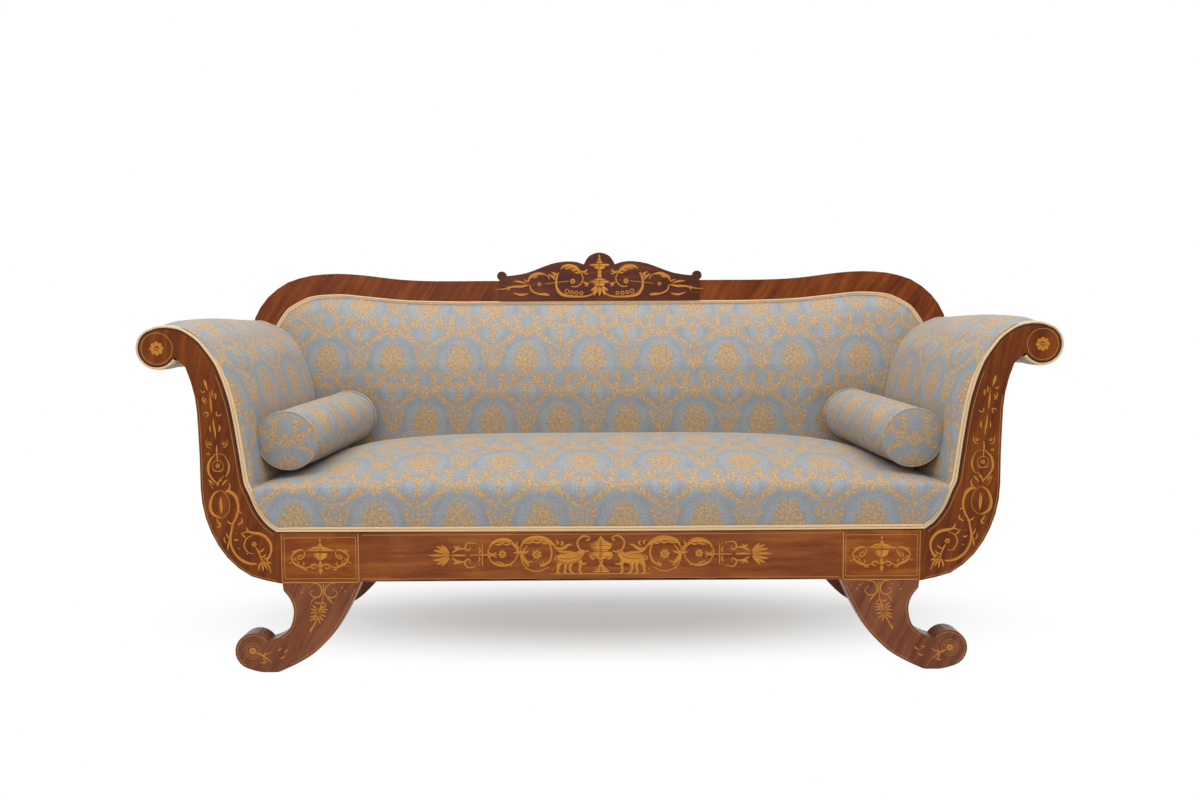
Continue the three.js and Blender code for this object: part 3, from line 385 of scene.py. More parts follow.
def lampasMaterial():
    material, tree, shader = newMaterial("silk_lampas", 0.6, Sheen_Weight=0.2, Sheen_Roughness=0.4,
                                         Specular_IOR_Level=0.3)
    value = lampas
    place = clothPlace(tree)
    wander = noise(tree, place, 0.1, 1.0, output="Color", noise_dimensions="2D")
    wander = vectorMaths(tree, "SUBTRACT", wander, (0.5, 0.5, 0.5))
    shifted = vectorMaths(tree, "MULTIPLY_ADD", wander, (value["wander"], value["wander"], 0.0), place)
    split = addNode(tree, "SeparateXYZ", {0: shifted})
    width, height, foot = value["repeatWidth"], value["repeatHeight"], value["repeatFoot"]
    # u runs from one column's axis to the next one's; each point reads only the column that it lies in,
    # and the second column stands half a repeat up
    u = maths(tree, "PINGPONG", split.outputs["X"], width / 2)
    z = maths(tree, "WRAP", split.outputs["Y"], height + foot, foot)
    up = mapRange(tree, z, foot, height + foot)
    curve = addNode(tree, "FloatCurve", {"Value": up})
    edges = [e / 100 for e in columnEdge] + [1 - e / 100 for e in columnEdge] + [columnEdge[0] / 100]
    points = curve.mapping.curves[0].points
    points[0].location, points[1].location = (0, edges[0]), (1, edges[-1])
    for k, edge in enumerate(edges[1:-1], 1):
        points.new(k / (len(edges) - 1), edge)
    curve.mapping.update()
    edge = maths(tree, "MULTIPLY", curve.outputs[0], width / 2)
    second = maths(tree, "GREATER_THAN", u, edge)
    far = maths(tree, "MULTIPLY_ADD", second, -width / 2, u)
    far = maths(tree, "ABSOLUTE", far)
    z = maths(tree, "MULTIPLY_ADD", second, height / 2, z)
    z = maths(tree, "WRAP", z, height + foot, foot)
    spot = addNode(tree, "CombineXYZ", {0: far, 1: z}).outputs[0]
    group = addNode(tree, "Group", node_tree=designGroup())
    tree.links.new(spot, group.inputs[0])
    design, rope, halo = group.outputs
    ragged = noise(tree, place, 0.15, 2.0, noise_dimensions="2D")
    edge = maths(tree, "MULTIPLY_ADD", ragged, value["ragged"], design)
    inside = mapRange(tree, edge, *value["figureEdge"])
    petals = addNode(tree, "TexVoronoi", {"Vector": place, "Scale": 1 / value["petalSize"]},
                     feature="DISTANCE_TO_EDGE", voronoi_dimensions="2D").outputs["Distance"]
    veins = mapRange(tree, petals, 0.03, 0.15, 0.1, 1.0)
    woven = maths(tree, "MULTIPLY", inside, veins)
    # small loose leaves stand round each figure, so the drawing has no hard outline
    leaf = mapRange(tree, petals, 0.2, 0.3, 0.0, 0.8)
    close = mapRange(tree, edge, *value["leafEdge"])
    leaf = maths(tree, "MULTIPLY", leaf, close)
    woven = maths(tree, "MAXIMUM", woven, leaf)
    roped = mapRange(tree, rope, 3.4, 1.6)
    twist = mapRange(tree, ragged, 0.38, 0.6, 0.0, value["ropeStrength"])
    roped = maths(tree, "MULTIPLY", roped, twist)
    shade = noise(tree, place, 0.02, 2.0, noise_dimensions="2D")
    ground = mixColours(tree, shade, hexColour(value["groundDeep"]), hexColour(value["ground"]))
    # a small figure in the ground itself, a shade paler, breaks its plain fields
    figure = mapRange(tree, petals, 0.05, 0.2, 0.0, value["haloStrength"])
    within = mapRange(tree, halo, 1.1, 0.7, 0.25, 1.0)
    within = maths(tree, "MULTIPLY", within, figure)
    ground = mixColours(tree, within, ground, hexColour(value["halo"]))
    ground = mixColours(tree, roped, ground, hexColour(value["rope"]))
    bright = mapRange(tree, ragged, 0.38, 0.62)
    gold = mixColours(tree, bright, hexColour(value["design"]), hexColour(value["designLight"]))
    colour = mixColours(tree, woven, ground, gold)
    twill = addNode(tree, "TexWave", {"Vector": place, "Scale": 1 / (value["threadPitch"] * 3.14)},
                    bands_direction="DIAGONAL").outputs["Fac"]
    finishSurface(tree, shader, colour, twill, 0.25, 0.0003)
    return material


# Mahogany veneer under French polish: warm red-brown, long fibres and a cloudy figure, with a soft gloss
veneers = {
    "veneer_rail": {"turn": 0, "dark": "#723515", "mid": "#8A481E", "light": "#A05B28", "figure": 0.010},
    "veneer_block": {"turn": 0, "dark": "#74330F", "mid": "#8D4715", "light": "#A55E22", "figure": 0.014},
    "veneer_facing": {"turn": 78, "dark": "#5A2403", "mid": "#743608", "light": "#8C4812", "figure": 0.008},
    "veneer_leg": {"turn": 62, "dark": "#6A3820", "mid": "#80492D", "light": "#915739", "figure": 0.010},
    "veneer_crest": {"turn": 58, "dark": "#5C2305", "mid": "#74350C", "light": "#8A4816", "figure": 0.009},
    "veneer_cartouche": {"turn": 0, "dark": "#431A0D", "mid": "#582713", "light": "#6B341B", "figure": 0.012},
}


def veneerMaterial(name):
    value = veneers[name]
    material, tree, shader = newMaterial(name, 0.36, Coat_Weight=0.06, Coat_Roughness=0.15,
                                         Specular_IOR_Level=0.14)
    place = addNode(tree, "TexCoord").outputs["Object"]
    turned = addNode(tree, "Mapping",
                     {"Vector": place, "Rotation": (0, radians(value["turn"]), 0),
                      "Scale": (1000, 1000, 1000)}).outputs[0]
    cloud = noise(tree, turned, value["figure"], 3.0, output="Color")
    bent = vectorMaths(tree, "MULTIPLY_ADD", cloud, (60.0, 14.0, 26.0), turned)
    long = vectorMaths(tree, "MULTIPLY", bent, (0.06, 1.0, 1.0))
    fibre = addNode(tree, "TexNoise",
                    {"Vector": long, "Scale": 0.07, "Detail": 5.0, "Roughness": 0.55}).outputs["Fac"]
    pore = noise(tree, long, 0.9, 2.0)
    tone = maths(tree, "MULTIPLY_ADD", pore, 0.12, fibre)
    broad = addNode(tree, "SeparateXYZ", {0: cloud}).outputs["Y"]
    tone = maths(tree, "MULTIPLY_ADD", broad, 0.5, tone)
    colour = colourRamp(tree, tone, [(0.55, value["dark"]), (1.0, value["light"]), (0.80, value["mid"])])
    gloss = mapRange(tree, fibre, 0.3, 0.7, 0.26, 0.4)
    tree.links.new(gloss, shader.inputs["Roughness"])
    finishSurface(tree, shader, colour, tone, 0.12, 0.0003)
    return material


def grainMaterial(name, dark, light, stretch, scale, roughness, **surface):
    # Plain timber, horsehair or drawn wire: two tones, drawn out along one direction
    material, tree, shader = newMaterial(name, roughness, **surface)
    place = addNode(tree, "TexCoord").outputs["Object"]
    turned = addNode(tree, "Mapping", {"Vector": place, "Scale": [1000 * s for s in stretch]}).outputs[0]
    grain = noise(tree, turned, scale, 5.0)
    colour = colourRamp(tree, grain, [(0.35, dark), (0.65, light)])
    finishSurface(tree, shader, colour, grain, 0.3, 0.0004)
    return material


def juteMaterial():
    # Jute hessian: a loose plain weave, drawn at 4 mm where real threads are 2 mm
    material, tree, shader = newMaterial("jute_hessian", 0.95)
    place = addNode(tree, "TexCoord").outputs["Object"]
    over = [addNode(tree, "TexWave", {"Vector": place, "Scale": 80.0, "Distortion": 1.2, "Detail": 2.0},
                    bands_direction=way).outputs["Fac"] for way in ("X", "Y", "Z")]
    weave = maths(tree, "MAXIMUM", over[0], over[1])
    weave = maths(tree, "MULTIPLY_ADD", over[2], 0.5, weave)
    colour = colourRamp(tree, weave, [(0.2, "#6E5634"), (1.0, "#B79A6B")])
    finishSurface(tree, shader, colour, weave, 0.6, 0.0008)
    return material


def cordMaterial(name, dark, light):
    # Rayon piping cord: a bright twisted yarn, drawn at 3 mm a twist
    material, tree, shader = newMaterial(name, 0.5, Sheen_Weight=0.3, Specular_IOR_Level=0.4)
    place = clothPlace(tree)
    twist = addNode(tree, "TexWave", {"Vector": place, "Scale": 0.105, "Distortion": 0.4, "Detail": 1.0},
                    bands_direction="DIAGONAL").outputs["Fac"]
    colour = colourRamp(tree, twist, [(0.1, dark), (0.6, light)])
    finishSurface(tree, shader, colour, twist, 0.5, 0.0005)
    return material


silk = lampasMaterial()
veneer = {name: veneerMaterial(name) for name in veneers}
# Planed beech: pale, straight-grained and dull. Spring steel: grey and bright. Horsehair: dark and matt.
beechWood = grainMaterial("planed_beech", "#9A7448", "#C29C6B", (0.06, 1, 1), 0.25, 0.6)
springWire = grainMaterial("drawn_spring_steel", "#6F7276", "#A3A6A9", (1, 1, 1), 0.2, 0.35, Metallic=1.0)
hairFill = grainMaterial("curled_horsehair", "#2E2620", "#5C4B3E", (1, 1, 1), 0.4, 0.9)
jute = juteMaterial()
gimpYarn = cordMaterial("gimp_yarn", "#DDB582", "#F8D8A8")
print("materials made")

finishes = [
    (veneer["veneer_rail"], ["front_rail"]),
    (veneer["veneer_block"], ["front_block", "rear_block"]),
    (veneer["veneer_facing"], ["arm_facing"]),
    (veneer["veneer_leg"], ["front_leg", "rear_leg"]),
    (veneer["veneer_crest"], ["back_crest_rail"]),
    (veneer["veneer_cartouche"], ["back_cartouche"]),
    (beechWood, ["rear_rail", "side_rail", "cross_rail", "front_leg_dowel", "rear_leg_dowel",
                 "arm_rear_board", "arm_roll_rail", "arm_lower_rail", "back_stile", "back_bottom_rail",
                 "back_muntin"]),
    (jute, ["seat_webbing", "seat_hessian", "arm_hessian", "back_hessian", "seat_bottom_cloth"]),
    (springWire, ["seat_spring_row"]),
    (hairFill, ["bolster_filling"]),
    (silk, ["arm_outer_cover", "back_outer_cover", "seat_pad", "arm_pad", "back_pad"]),
    (gimpYarn, ["seat_gimp", "back_gimp"]),
]
for material, starts in finishes:
    for name, node in nodes.items():
        plain = name.removesuffix("_right").removesuffix("_left")
        if plain in starts or any(plain.startswith(s + "_") and plain[len(s) + 1:].isdigit() for s in starts):
            node.data.materials.clear()
            node.data.materials.append(material)


def sideWord(side):
    return "right" if side > 0 else "left"


# Bolsters
bolster = {
    "radius": 75.0,
    "length": 464.0,
    "crown": 9.0,
    "middle": (756.0, 298.0, 581.0),
    "yaw": 7.6,
    "pitch": 2.2,
    "pipe": 2.9,
    "seamDraw": 3.4,  # mm by which the seams draw the body in
    "ripple": 0.4,
    "wide": 1.05,  # shares of its radius: soft filling lies a little wider than high
    "high": 0.985,
    "endRows": 16,  # rings of its grid in each end disc
    "bodyRows": 44,
    "around": 96,
    "clearance": 1.2,  # mm between it and the pressed seat
    "endMargin": 8.0,  # mm past its ends where the seat's cloth still lies still
    "stillTo": 4.0,  # mm off its side up to which the cloth under it lies still
    "freeFrom": 50.0,
    "pressure": 3.0,
    "slack": 0.02,
    "cap": 3.0,
}


bolsterTurn = np.array(Matrix.Rotation(radians(bolster["yaw"]), 3, "Z")
                       @ Matrix.Rotation(radians(bolster["pitch"]), 3, "X"))


def laid(points, side):
    # Turns a shape drawn along the depth axis and puts it in its place on the seat
    spots = points @ bolsterTurn.T + np.array(bolster["middle"])
    return spots * np.array([side, 1, 1])


def fromBolster(points, side):
    # The same points as seen from the bolster, with its axis along the depth
    return (points * np.array([side, 1, 1]) - np.array(bolster["middle"])) @ bolsterTurn


def besideBolsters(points):
    # 0 where a bolster lies on the cloth, 1 where the cloth is free of it
    free = 1.0
    for side in (1, -1):
        local = fromBolster(points, side)
        beyond = np.maximum(0, np.abs(local[..., 1]) - bolster["length"] / 2 - bolster["endMargin"])
        off = np.hypot(np.hypot(local[..., 0], local[..., 2]), beyond)
        free = free * smoothStep(off - bolster["radius"], bolster["stillTo"], bolster["freeFrom"])
    return free


# Filling
filling = {"frames": 16, "rows": 64, "columns": 96}


def stuffed(face, behind, free, pressure, slack, cap, wrap=False, seams=()):
    # Cloth over its filling: a coarse copy of the face, held along its seams and cut a little large,
    # is blown out by the filling's pressure; its movement, at most cap mm, goes to the fine grid
    rows, columns = face.shape[:2]
    n, m = min(rows, filling["rows"]), (columns // 2 if wrap else min(columns, filling["columns"]))
    down = np.concatenate([np.linspace(0, rows - 1, n).round().astype(int), list(seams)])
    down = np.unique(down).astype(int)
    over = np.arange(m) * 2 if wrap else np.unique(np.linspace(0, columns - 1, m).round().astype(int))
    coarse = face[down][:, over]
    n, m = coarse.shape[:2]
    quads, _ = gridFaces(n, m, False, wrap)
    spots = coarse.reshape(-1, 3)
    normals = np.cross(spots[quads[:, 2]] - spots[quads[:, 0]], spots[quads[:, 3]] - spots[quads[:, 1]])
    away = (coarse - (behind[down][:, over] if np.ndim(behind) == 3 else behind)).reshape(-1, 3)[quads[:, 0]]
    if (normals * away).sum() < 0:
        quads = quads[:, ::-1]
    mesh = bpy.data.meshes.new("filling_copy")
    mesh.from_pydata((spots * mm).tolist(), [], quads.tolist())
    copy = bpy.data.objects.new("filling_copy", mesh)
    bpy.context.scene.collection.objects.link(copy)
    held = np.zeros((n, m), bool)
    held[[0, -1]] = True
    held[np.isin(down, list(seams))] = True
    if not wrap:
        held[:, [0, -1]] = True
    copy.vertex_groups.new(name="seam").add(np.flatnonzero(held).tolist(), 1.0, "REPLACE")
    cloth = copy.modifiers.new("filling", "CLOTH")
    for name, number in {"quality": 5, "mass": 0.3, "tension_stiffness": 12.0, "compression_stiffness": 12.0,
                         "shear_stiffness": 6.0, "bending_stiffness": 0.3, "use_pressure": True,
                         "uniform_pressure_force": pressure, "shrink_min": -slack,
                         "vertex_group_mass": "seam"}.items():
        setattr(cloth.settings, name, number)
    cloth.settings.effector_weights.gravity = 0.0
    cloth.collision_settings.use_collision = False
    cloth.point_cache.frame_start, cloth.point_cache.frame_end = 1, filling["frames"]
    scene = bpy.context.scene
    for number in range(1, filling["frames"] + 1):
        scene.frame_set(number)
    ready = copy.evaluated_get(bpy.context.evaluated_depsgraph_get())
    moved = np.empty(n * m * 3)
    ready.data.vertices.foreach_get("co", moved)
    bpy.data.objects.remove(copy)
    bpy.data.meshes.remove(mesh)
    scene.frame_set(1)
    shift = moved.reshape(n, m, 3) / mm - coarse
    length = np.linalg.norm(shift, axis=2, keepdims=True)
    print("filling moved the cloth by up to", round(float(length.max()), 1), "mm")
    shift = shift * cap / (cap + length)
    if wrap:
        over, shift = np.append(over, columns), np.concatenate([shift, shift[:, :1]], axis=1)
    i = np.interp(np.arange(rows), down, np.arange(len(down)))
    j = np.interp(np.arange(columns), over, np.arange(len(over)))
    i0, j0 = np.minimum(i.astype(int), len(down) - 2), np.minimum(j.astype(int), len(over) - 2)
    f, g = (i - i0)[:, None, None], (j - j0)[None, :, None]
    low = shift[i0][:, j0] * (1 - g) + shift[i0][:, j0 + 1] * g
    high = shift[i0 + 1][:, j0] * (1 - g) + shift[i0 + 1][:, j0 + 1] * g
    return face + (low * (1 - f) + high * f) * np.broadcast_to(free, (rows, columns))[..., None]


# Upholstered arm
arm = {
    "bulge": 48.0,  # crown of its inside past the facing's edge
    "rollBulge": 8.0,
    "topCrown": 8.0,
    "rearCrown": 18.0,  # more fullness near the back, between these heights
    "rearRise": (520.0, 640.0),
    "rearFall": (760.0, 850.0),
    "sink": 12.0,
    "foot": 385.0,
    "seatJoint": 478.0,
    "gimpWidth": 13.0,
    "gimpEdge": 4.4,
    "patternUp": 60.0,
    "tuck": 0.8,  # mm of its front edge under the gimp
    "ledge": 1.6,  # mm by which it covers the facing's ledge
    "ledgeDepth": 60.0,
    "facingDepth": 33.0,
    "pressure": 2.2,
    "slack": 0.012,  # share by which the cover is cut larger than its form
    "cap": 5.0,
}
armDepthShares = np.array([(0, 0.38), (0.06, 0.5), (0.12, 0.6), (0.25, 0.84), (0.5, 1), (0.8, 1),
                           (1.1, 0.92)])
spineNormals = leftNormals(armSpine)


def gimpReach(line, normals):
    # The gimp lies flat along the S and turns on edge over the roll
    edge = arm["gimpEdge"] + (arm["gimpWidth"] - arm["gimpEdge"]) * np.maximum(0, -normals[:, 0])
    flat = line[:, 1] < sofa["scrollZ"] - 2 * sofa["scrollRadius"]
    return np.where(flat, arm["gimpWidth"], edge)


def armReach(share):
    # The crown of the arm along the S at a share of the depth, in mm past the wood's edge
    full = np.interp(share, armDepthShares[:, 0], armDepthShares[:, 1])
    x, z = armSpine[:, 0], armSpine[:, 1]
    tuck = smoothStep(z, arm["foot"], arm["seatJoint"])
    under = (z < sofa["scrollZ"]) & (x > sofa["scrollX"] - sofa["scrollRadius"] - 1)
    facing = np.where(under, 0, np.maximum(0, -spineNormals[:, 0]) ** 1.3)
    # fuller on top of the roll in the middle of its depth, and inside near the back
    crown = arm["topCrown"] * smoothStep(share, 0.03, 0.22) * (1 - smoothStep(share, 0.4, 0.95))
    crown = crown * np.clip(spineNormals[:, 1], 0, 1)
    rear = arm["rearCrown"] * smoothStep(share, 0.35, 0.8) * smoothStep(z, *arm["rearRise"])
    rear = rear * (1 - smoothStep(z, *arm["rearFall"]))
    return (arm["rollBulge"] + (arm["bulge"] - arm["rollBulge"]) * facing) * full * tuck + crown + rear


def armSurface(share):
    # The S moved along its normals by the crown; near the front it starts at the gimp's inner edge
    reach = armReach(share)
    front = gimpReach(armSpine, spineNormals) - arm["tuck"]
    depth = share * sofa["backFace"]
    reach = front + (reach - front) * smoothStep(depth, 2, 17)
    # behind the gimp it covers the facing's ledge
    ledge = front + arm["ledge"] * smoothStep(depth, 4, 11)
    if depth < arm["ledgeDepth"]:
        reach = np.maximum(reach, ledge)
    return armSpine + spineNormals * reach[:, None]


def armPiece(side):
    # Each row of its grid is a loop at one depth: up the S along the cover and home inside the frame
    keep = armSpine[:, 1] > arm["foot"]
    line = armSpine[keep]
    shares = np.concatenate([np.linspace(0.004, 0.06, 14), np.linspace(0.075, 1, 46)])
    run = runAlong(line)
    tops, lows, cloth = [], [], []
    for share in shares:
        surface = armSurface(share)[keep]
        depth = share * sofa["backFace"] + (leaning(surface[:, 1], -0.5) - sofa["backFace"]) * share**3
        hidden = share * sofa["backFace"]
        sink = arm["sink"]
        if hidden <= arm["facingDepth"]:
            sink = -gimpReach(line, spineNormals[keep]) + 2.2 - 2.1 * (hidden > 9)
        inner = line - spineNormals[keep] * np.broadcast_to(sink, len(line))[:, None]
        top = np.stack([side * surface[:, 0], depth, surface[:, 1]], axis=1)
        low = np.stack([side * inner[:, 0], depth, inner[:, 1]], axis=1)[::-1]
        tops.append(top)
        lows.append(low)
        spots = np.stack([depth, run + arm["patternUp"]], axis=1)
        both = np.vstack([spots, spots[::-1]])
        cloth.append(np.vstack([both, both[:1]]) * mm)
    name = "arm_cushion_" + sideWord(side)
    tops, lows = np.array(tops), np.array(lows)
    free = smoothStep(tops[..., 1], arm["facingDepth"] + 1, 90) * besideBolsters(tops)
    tops = stuffed(tops, lows[:, ::-1], free, arm["pressure"], arm["slack"], arm["cap"])
    rows = np.concatenate([tops, lows], axis=1)
    piece = gridPiece(name, rows, silk, "sofa", np.array(cloth), wrapColumns=True, ends="zip")
    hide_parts("arm_pad_" + sideWord(side))
    return piece


for side in (1, -1):
    armPiece(side)
print("arms made")


# Bolster pieces
def bolsterPiece(side):
    # A drum with slightly crowned ends; each row of the grid is a ring round its axis
    radius, half, crown = bolster["radius"], bolster["length"] / 2, bolster["crown"]
    first, last = bolster["endRows"], bolster["endRows"] + bolster["bodyRows"]
    share = np.linspace(0.02, 1, first)
    endRadius = radius * share - 1.0 * (share == 1)
    endLift = crown * (1 - share**2.4)
    body = np.linspace(-1, 1, bolster["bodyRows"])
    # radius along the body = radius - seamDraw * |share|^9 - ripple * (1 + cos(9 * share)) / 2
    ripple = 0.5 * (1 + np.cos(body * 9)) * (np.abs(body) < 0.95) * bolster["ripple"]
    swell = radius - bolster["seamDraw"] * np.abs(body) ** 9 - ripple
    radii = np.concatenate([endRadius, swell, endRadius[::-1]])
    along = np.concatenate([-half - endLift + 1, body * (half - 2.5), half + endLift[::-1] - 1])
    angle = np.linspace(0, 2 * np.pi, bolster["around"], endpoint=False)
    x = radii[:, None] * np.cos(angle)[None, :] * bolster["wide"]
    z = radii[:, None] * np.sin(angle)[None, :] * bolster["high"]
    y = np.broadcast_to(along[:, None], x.shape)
    drum = np.stack([x, y, z], axis=2)
    seams = (first - 1, first, last - 1, last)
    free = np.ones(len(radii))
    free[:4], free[-4:] = [0, 0.3, 0.6, 0.9], [0.9, 0.6, 0.3, 0]
    free[list(seams)] = 0
    drum = stuffed(drum, np.zeros(3), free[:, None], bolster["pressure"], bolster["slack"], bolster["cap"],
                   wrap=True, seams=seams)
    grid = laid(drum.reshape(-1, 3), side).reshape(*x.shape, 3)
    around = np.append(angle, 2 * np.pi)
    disc = np.stack([radii[:, None] * np.cos(around), radii[:, None] * np.sin(around) + 88], axis=2)
    case = np.stack([np.broadcast_to(along[:, None] + 40, disc.shape[:2]),
                     np.broadcast_to(around * radius, disc.shape[:2])], axis=2)
    row = np.arange(len(radii))[:, None, None]
    cloth = np.where((row < first) | (row >= last), disc, case) * mm
    word = sideWord(side)
    piece = gridPiece("bolster_" + word + "_cushion", grid, silk, "bolster_" + word, cloth, wrapColumns=True,
                      ends="fan")
    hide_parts("bolster_case_" + word, "bolster_front_disc_" + word, "bolster_back_disc_" + word,
                "bolster_filling_" + word)
    for end in (-1, 1):
        ring = np.stack([(radius - 1) * np.cos(angle) * bolster["wide"],
                         np.full(len(angle), end * (half - 1.5)),
                         (radius - 1) * np.sin(angle) * bolster["high"]], axis=1)
        tubePiece(f"bolster_{word}_piping_{'front' if end < 0 else 'back'}", laid(ring, side),
                  bolster["pipe"], 10, silk, "bolster_" + word, closed=True)


def tubePiece(name, path, radius, sides, material, body, closed=False):
    # A round cord: rings about the path, in the plane of its sideways normal and the depth
    if closed:
        along = np.roll(path, -1, axis=0) - np.roll(path, 1, axis=0)
    else:
        along = np.gradient(path, axis=0)
    along /= np.linalg.norm(along, axis=1, keepdims=True)
    first = np.cross(along, (0.0, 1.0, 0.0))
    first /= np.linalg.norm(first, axis=1, keepdims=True)
    second = np.cross(along, first)
    a = np.linspace(0, 2 * np.pi, sides, endpoint=False)
    ring = np.cos(a)[None, :, None] * first[:, None, :] + np.sin(a)[None, :, None] * second[:, None, :]
    grid = path[:, None, :] + radius * ring
    run = runAlong(np.vstack([path, path[:1]]) if closed else path)
    around = np.append(a, 2 * np.pi) * radius
    cloth = np.stack(np.broadcast_arrays(run[:, None], around[None, :]), axis=2) * mm
    piece = gridPiece(name, grid, material, body, cloth, wrapRows=closed, wrapColumns=True,
                      ends=None if closed else "fan")
    return piece


for side in (1, -1):
    bolsterPiece(side)
print("bolsters made")


# Seat
seat = {
    "edge": 461.0,
    "crown": 91.0,
    "bulge": 6.0,
    "endShare": 0.1,  # share of the crown that is left beside the arms
    "crownPower": 4.5,
    "sideSweep": 0.92,  # share of a quarter turn, which sets the columns closer near the arms
    "armGap": 0.6,
    "patternAcross": 43.6,
    "patternUp": -206.0,
    "pressure": 2.0,
    "slack": 0.01,
    "cap": 3.0,
    "patternScale": 200 / 203,
}
seatTopShares = [
    (0.013, 0.09), (0.051, 0.264), (0.1, 0.43), (0.169, 0.593), (0.26, 0.74), (0.338, 0.846),
    (0.45, 0.94), (0.591, 1), (0.7, 0.96), (0.828, 0.846), (0.97, 0.62),
]
seatFrontShares = [(0.09, -0.6), (0.18, 0.1), (0.4, 0.8), (0.62, 1), (0.82, 0.7), (0.95, 0.05)]


def armLimits(depth, z):
    # How far out the seat may reach at each depth and height before it meets the arm
    stations = np.concatenate([[0.0, 0.02, 0.04, 0.06], np.linspace(0.09, 1, 16)])
    heights = np.linspace(345, 600, 86)
    table = []
    for share in stations:
        line = armSurface(max(share, 0.004))[:190]
        order = np.argsort(line[:, 1])
        table.append(np.interp(heights, line[order, 1], line[order, 0]))
    table = np.array(table)
    wide = armSpine[:150]
    inGimp = np.interp(heights, wide[:, 1], (wide + spineNormals[:150] * 13.6)[:, 0])
    table[:2] = np.minimum(table[:2], inGimp)
    s = np.interp(depth / sofa["backFace"], stations, np.arange(len(stations)))
    h = np.interp(z, heights, np.arange(len(heights)))
    i, j = np.minimum(s.astype(int), len(stations) - 2), np.minimum(h.astype(int), len(heights) - 2)
    f, g = s - i, h - j
    return (table[i, j] * (1 - f) * (1 - g) + table[i + 1, j] * f * (1 - g)
            + table[i, j + 1] * (1 - f) * g + table[i + 1, j + 1] * f * g)


def underBolster(points, ease):
    # Presses the points down where a bolster lies on them, with a soft edge
    for side in (1, -1):
        local = fromBolster(points, side)
        reach = bolster["radius"] + bolster["clearance"]
        off = np.clip(1 - (local[:, 0] / reach) ** 2, 0, None)
        low = -reach * np.sqrt(off)
        lies = (np.abs(local[:, 1]) < bolster["length"] / 2 + 6) & (np.abs(local[:, 0]) < reach)
        press = np.where(lies, np.maximum(0, local[:, 2] - low), 0)
        points = points - np.stack([0 * press, 0 * press, press * ease], axis=1)
    return points


def seatPiece():
    # Columns side by side: each follows the same profile from the front rail over the crown to the back
    front = [(-u * seat["bulge"], sofa["railTop"] + v * (seat["edge"] - sofa["railTop"]))
             for v, u in seatFrontShares]
    depth = sofa["backFace"] - 2
    top = [(u * depth, seat["edge"] + v * seat["crown"]) for u, v in seatTopShares]
    profile = smoothLine(front + top, 110)
    run = runAlong(profile)
    # column share = sin(sweep * step) / sin(sweep), for steps from -1 to 1
    sweep = np.pi / 2 * seat["sideSweep"]
    shares = np.sin(np.linspace(-1, 1, 181) * sweep) / np.sin(sweep)
    lines, feet, cloth = [], [], []
    for share in shares:
        fade = seat["endShare"] + (1 - seat["endShare"]) * (1 - abs(share) ** seat["crownPower"])
        z = profile[:, 1].copy()
        above = np.maximum(0, z - seat["edge"])
        z = z - above * (1 - fade)
        limit = armLimits(profile[:, 0], z) - seat["armGap"]
        line = np.stack([share * limit, profile[:, 0], z], axis=1)
        line = underBolster(line, 1.0)
        foot = np.array([[line[-1, 0] * 0.97, depth, sofa["railTop"] + 20],
                         [line[0, 0], 60.0, sofa["railTop"] + 12], [line[0, 0], 14.0, line[0, 2] + 1]])
        lines.append(line)
        feet.append(foot)
        spots = np.stack([share * limit * seat["patternScale"] + seat["patternAcross"],
                          run * seat["patternScale"] + seat["patternUp"]], axis=1)
        cloth.append(np.vstack([spots, spots[-1:], spots[-1:], spots[:1], spots[:1]]) * mm)
    lines = np.array(lines)
    lines = stuffed(lines, np.array([0.0, 300.0, 380.0]), besideBolsters(lines), seat["pressure"],
                    seat["slack"], seat["cap"])
    rows = np.concatenate([lines, np.array(feet)], axis=1)
    piece = gridPiece("seat_cushion", rows, silk, "sofa", np.array(cloth), wrapColumns=True, ends="fan")
    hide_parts("seat_pad")
    return piece


seatPiece()
print("seat made")


# Upholstered back
back = {
    "thickness": 76.0,
    "foot": 445.0,
    "power": 4.5,
    "draw": 0.8,
    "underGimp": 0.5,  # mm of its edge that lie under the gimp
    "columns": 181,
    "rows": 70,
    "rimPoints": 300,
    "rollStart": 1.6,  # mm from the rim, where its rounded edge begins
    "rollWidth": 26.0,
    "pressure": 2.0,
    "slack": 0.01,
    "cap": 5.0,
    "patternAcross": 19.0,
    "patternUp": -310.0,
    "patternScale": 200 / 195,
}
backPadShares = np.array([(0, 0.9), (0.06, 0.98), (0.12, 1.03), (0.3, 1.17), (0.46, 1.24), (0.62, 1.17),
                          (0.76, 0.97), (0.87, 0.7), (0.94, 0.42), (0.98, 0.18), (1, 0.05)])


def distanceTo(points, line):
    # Distance of each point to the nearest place on a line: its foot on each stretch is start + t * way,
    # where t = (point - start) . way / |way|^2, kept between 0 and 1
    start, way = line[:-1], np.diff(line, axis=0)
    off = points[:, None] - start
    t = np.clip((off * way).sum(axis=2) / (way**2).sum(axis=1), 0, 1)
    return np.sqrt(((off - t[..., None] * way) ** 2).sum(axis=2).min(axis=1))


def coonsPatch(left, right, top, u, w):
    # The sheet ruled from a straight foot to the top, plus the one ruled from side to side,
    # less the one through their four corners
    foot = left[0] + (right[0] - left[0]) * u[:, 0]
    return ((1 - w) * foot[:, None] + w * top[:, None] + (1 - u) * left[None] + u * right[None]
            - (1 - u) * (1 - w) * left[0] - u * (1 - w) * right[0] - (1 - u) * w * top[0] - u * w * top[-1])


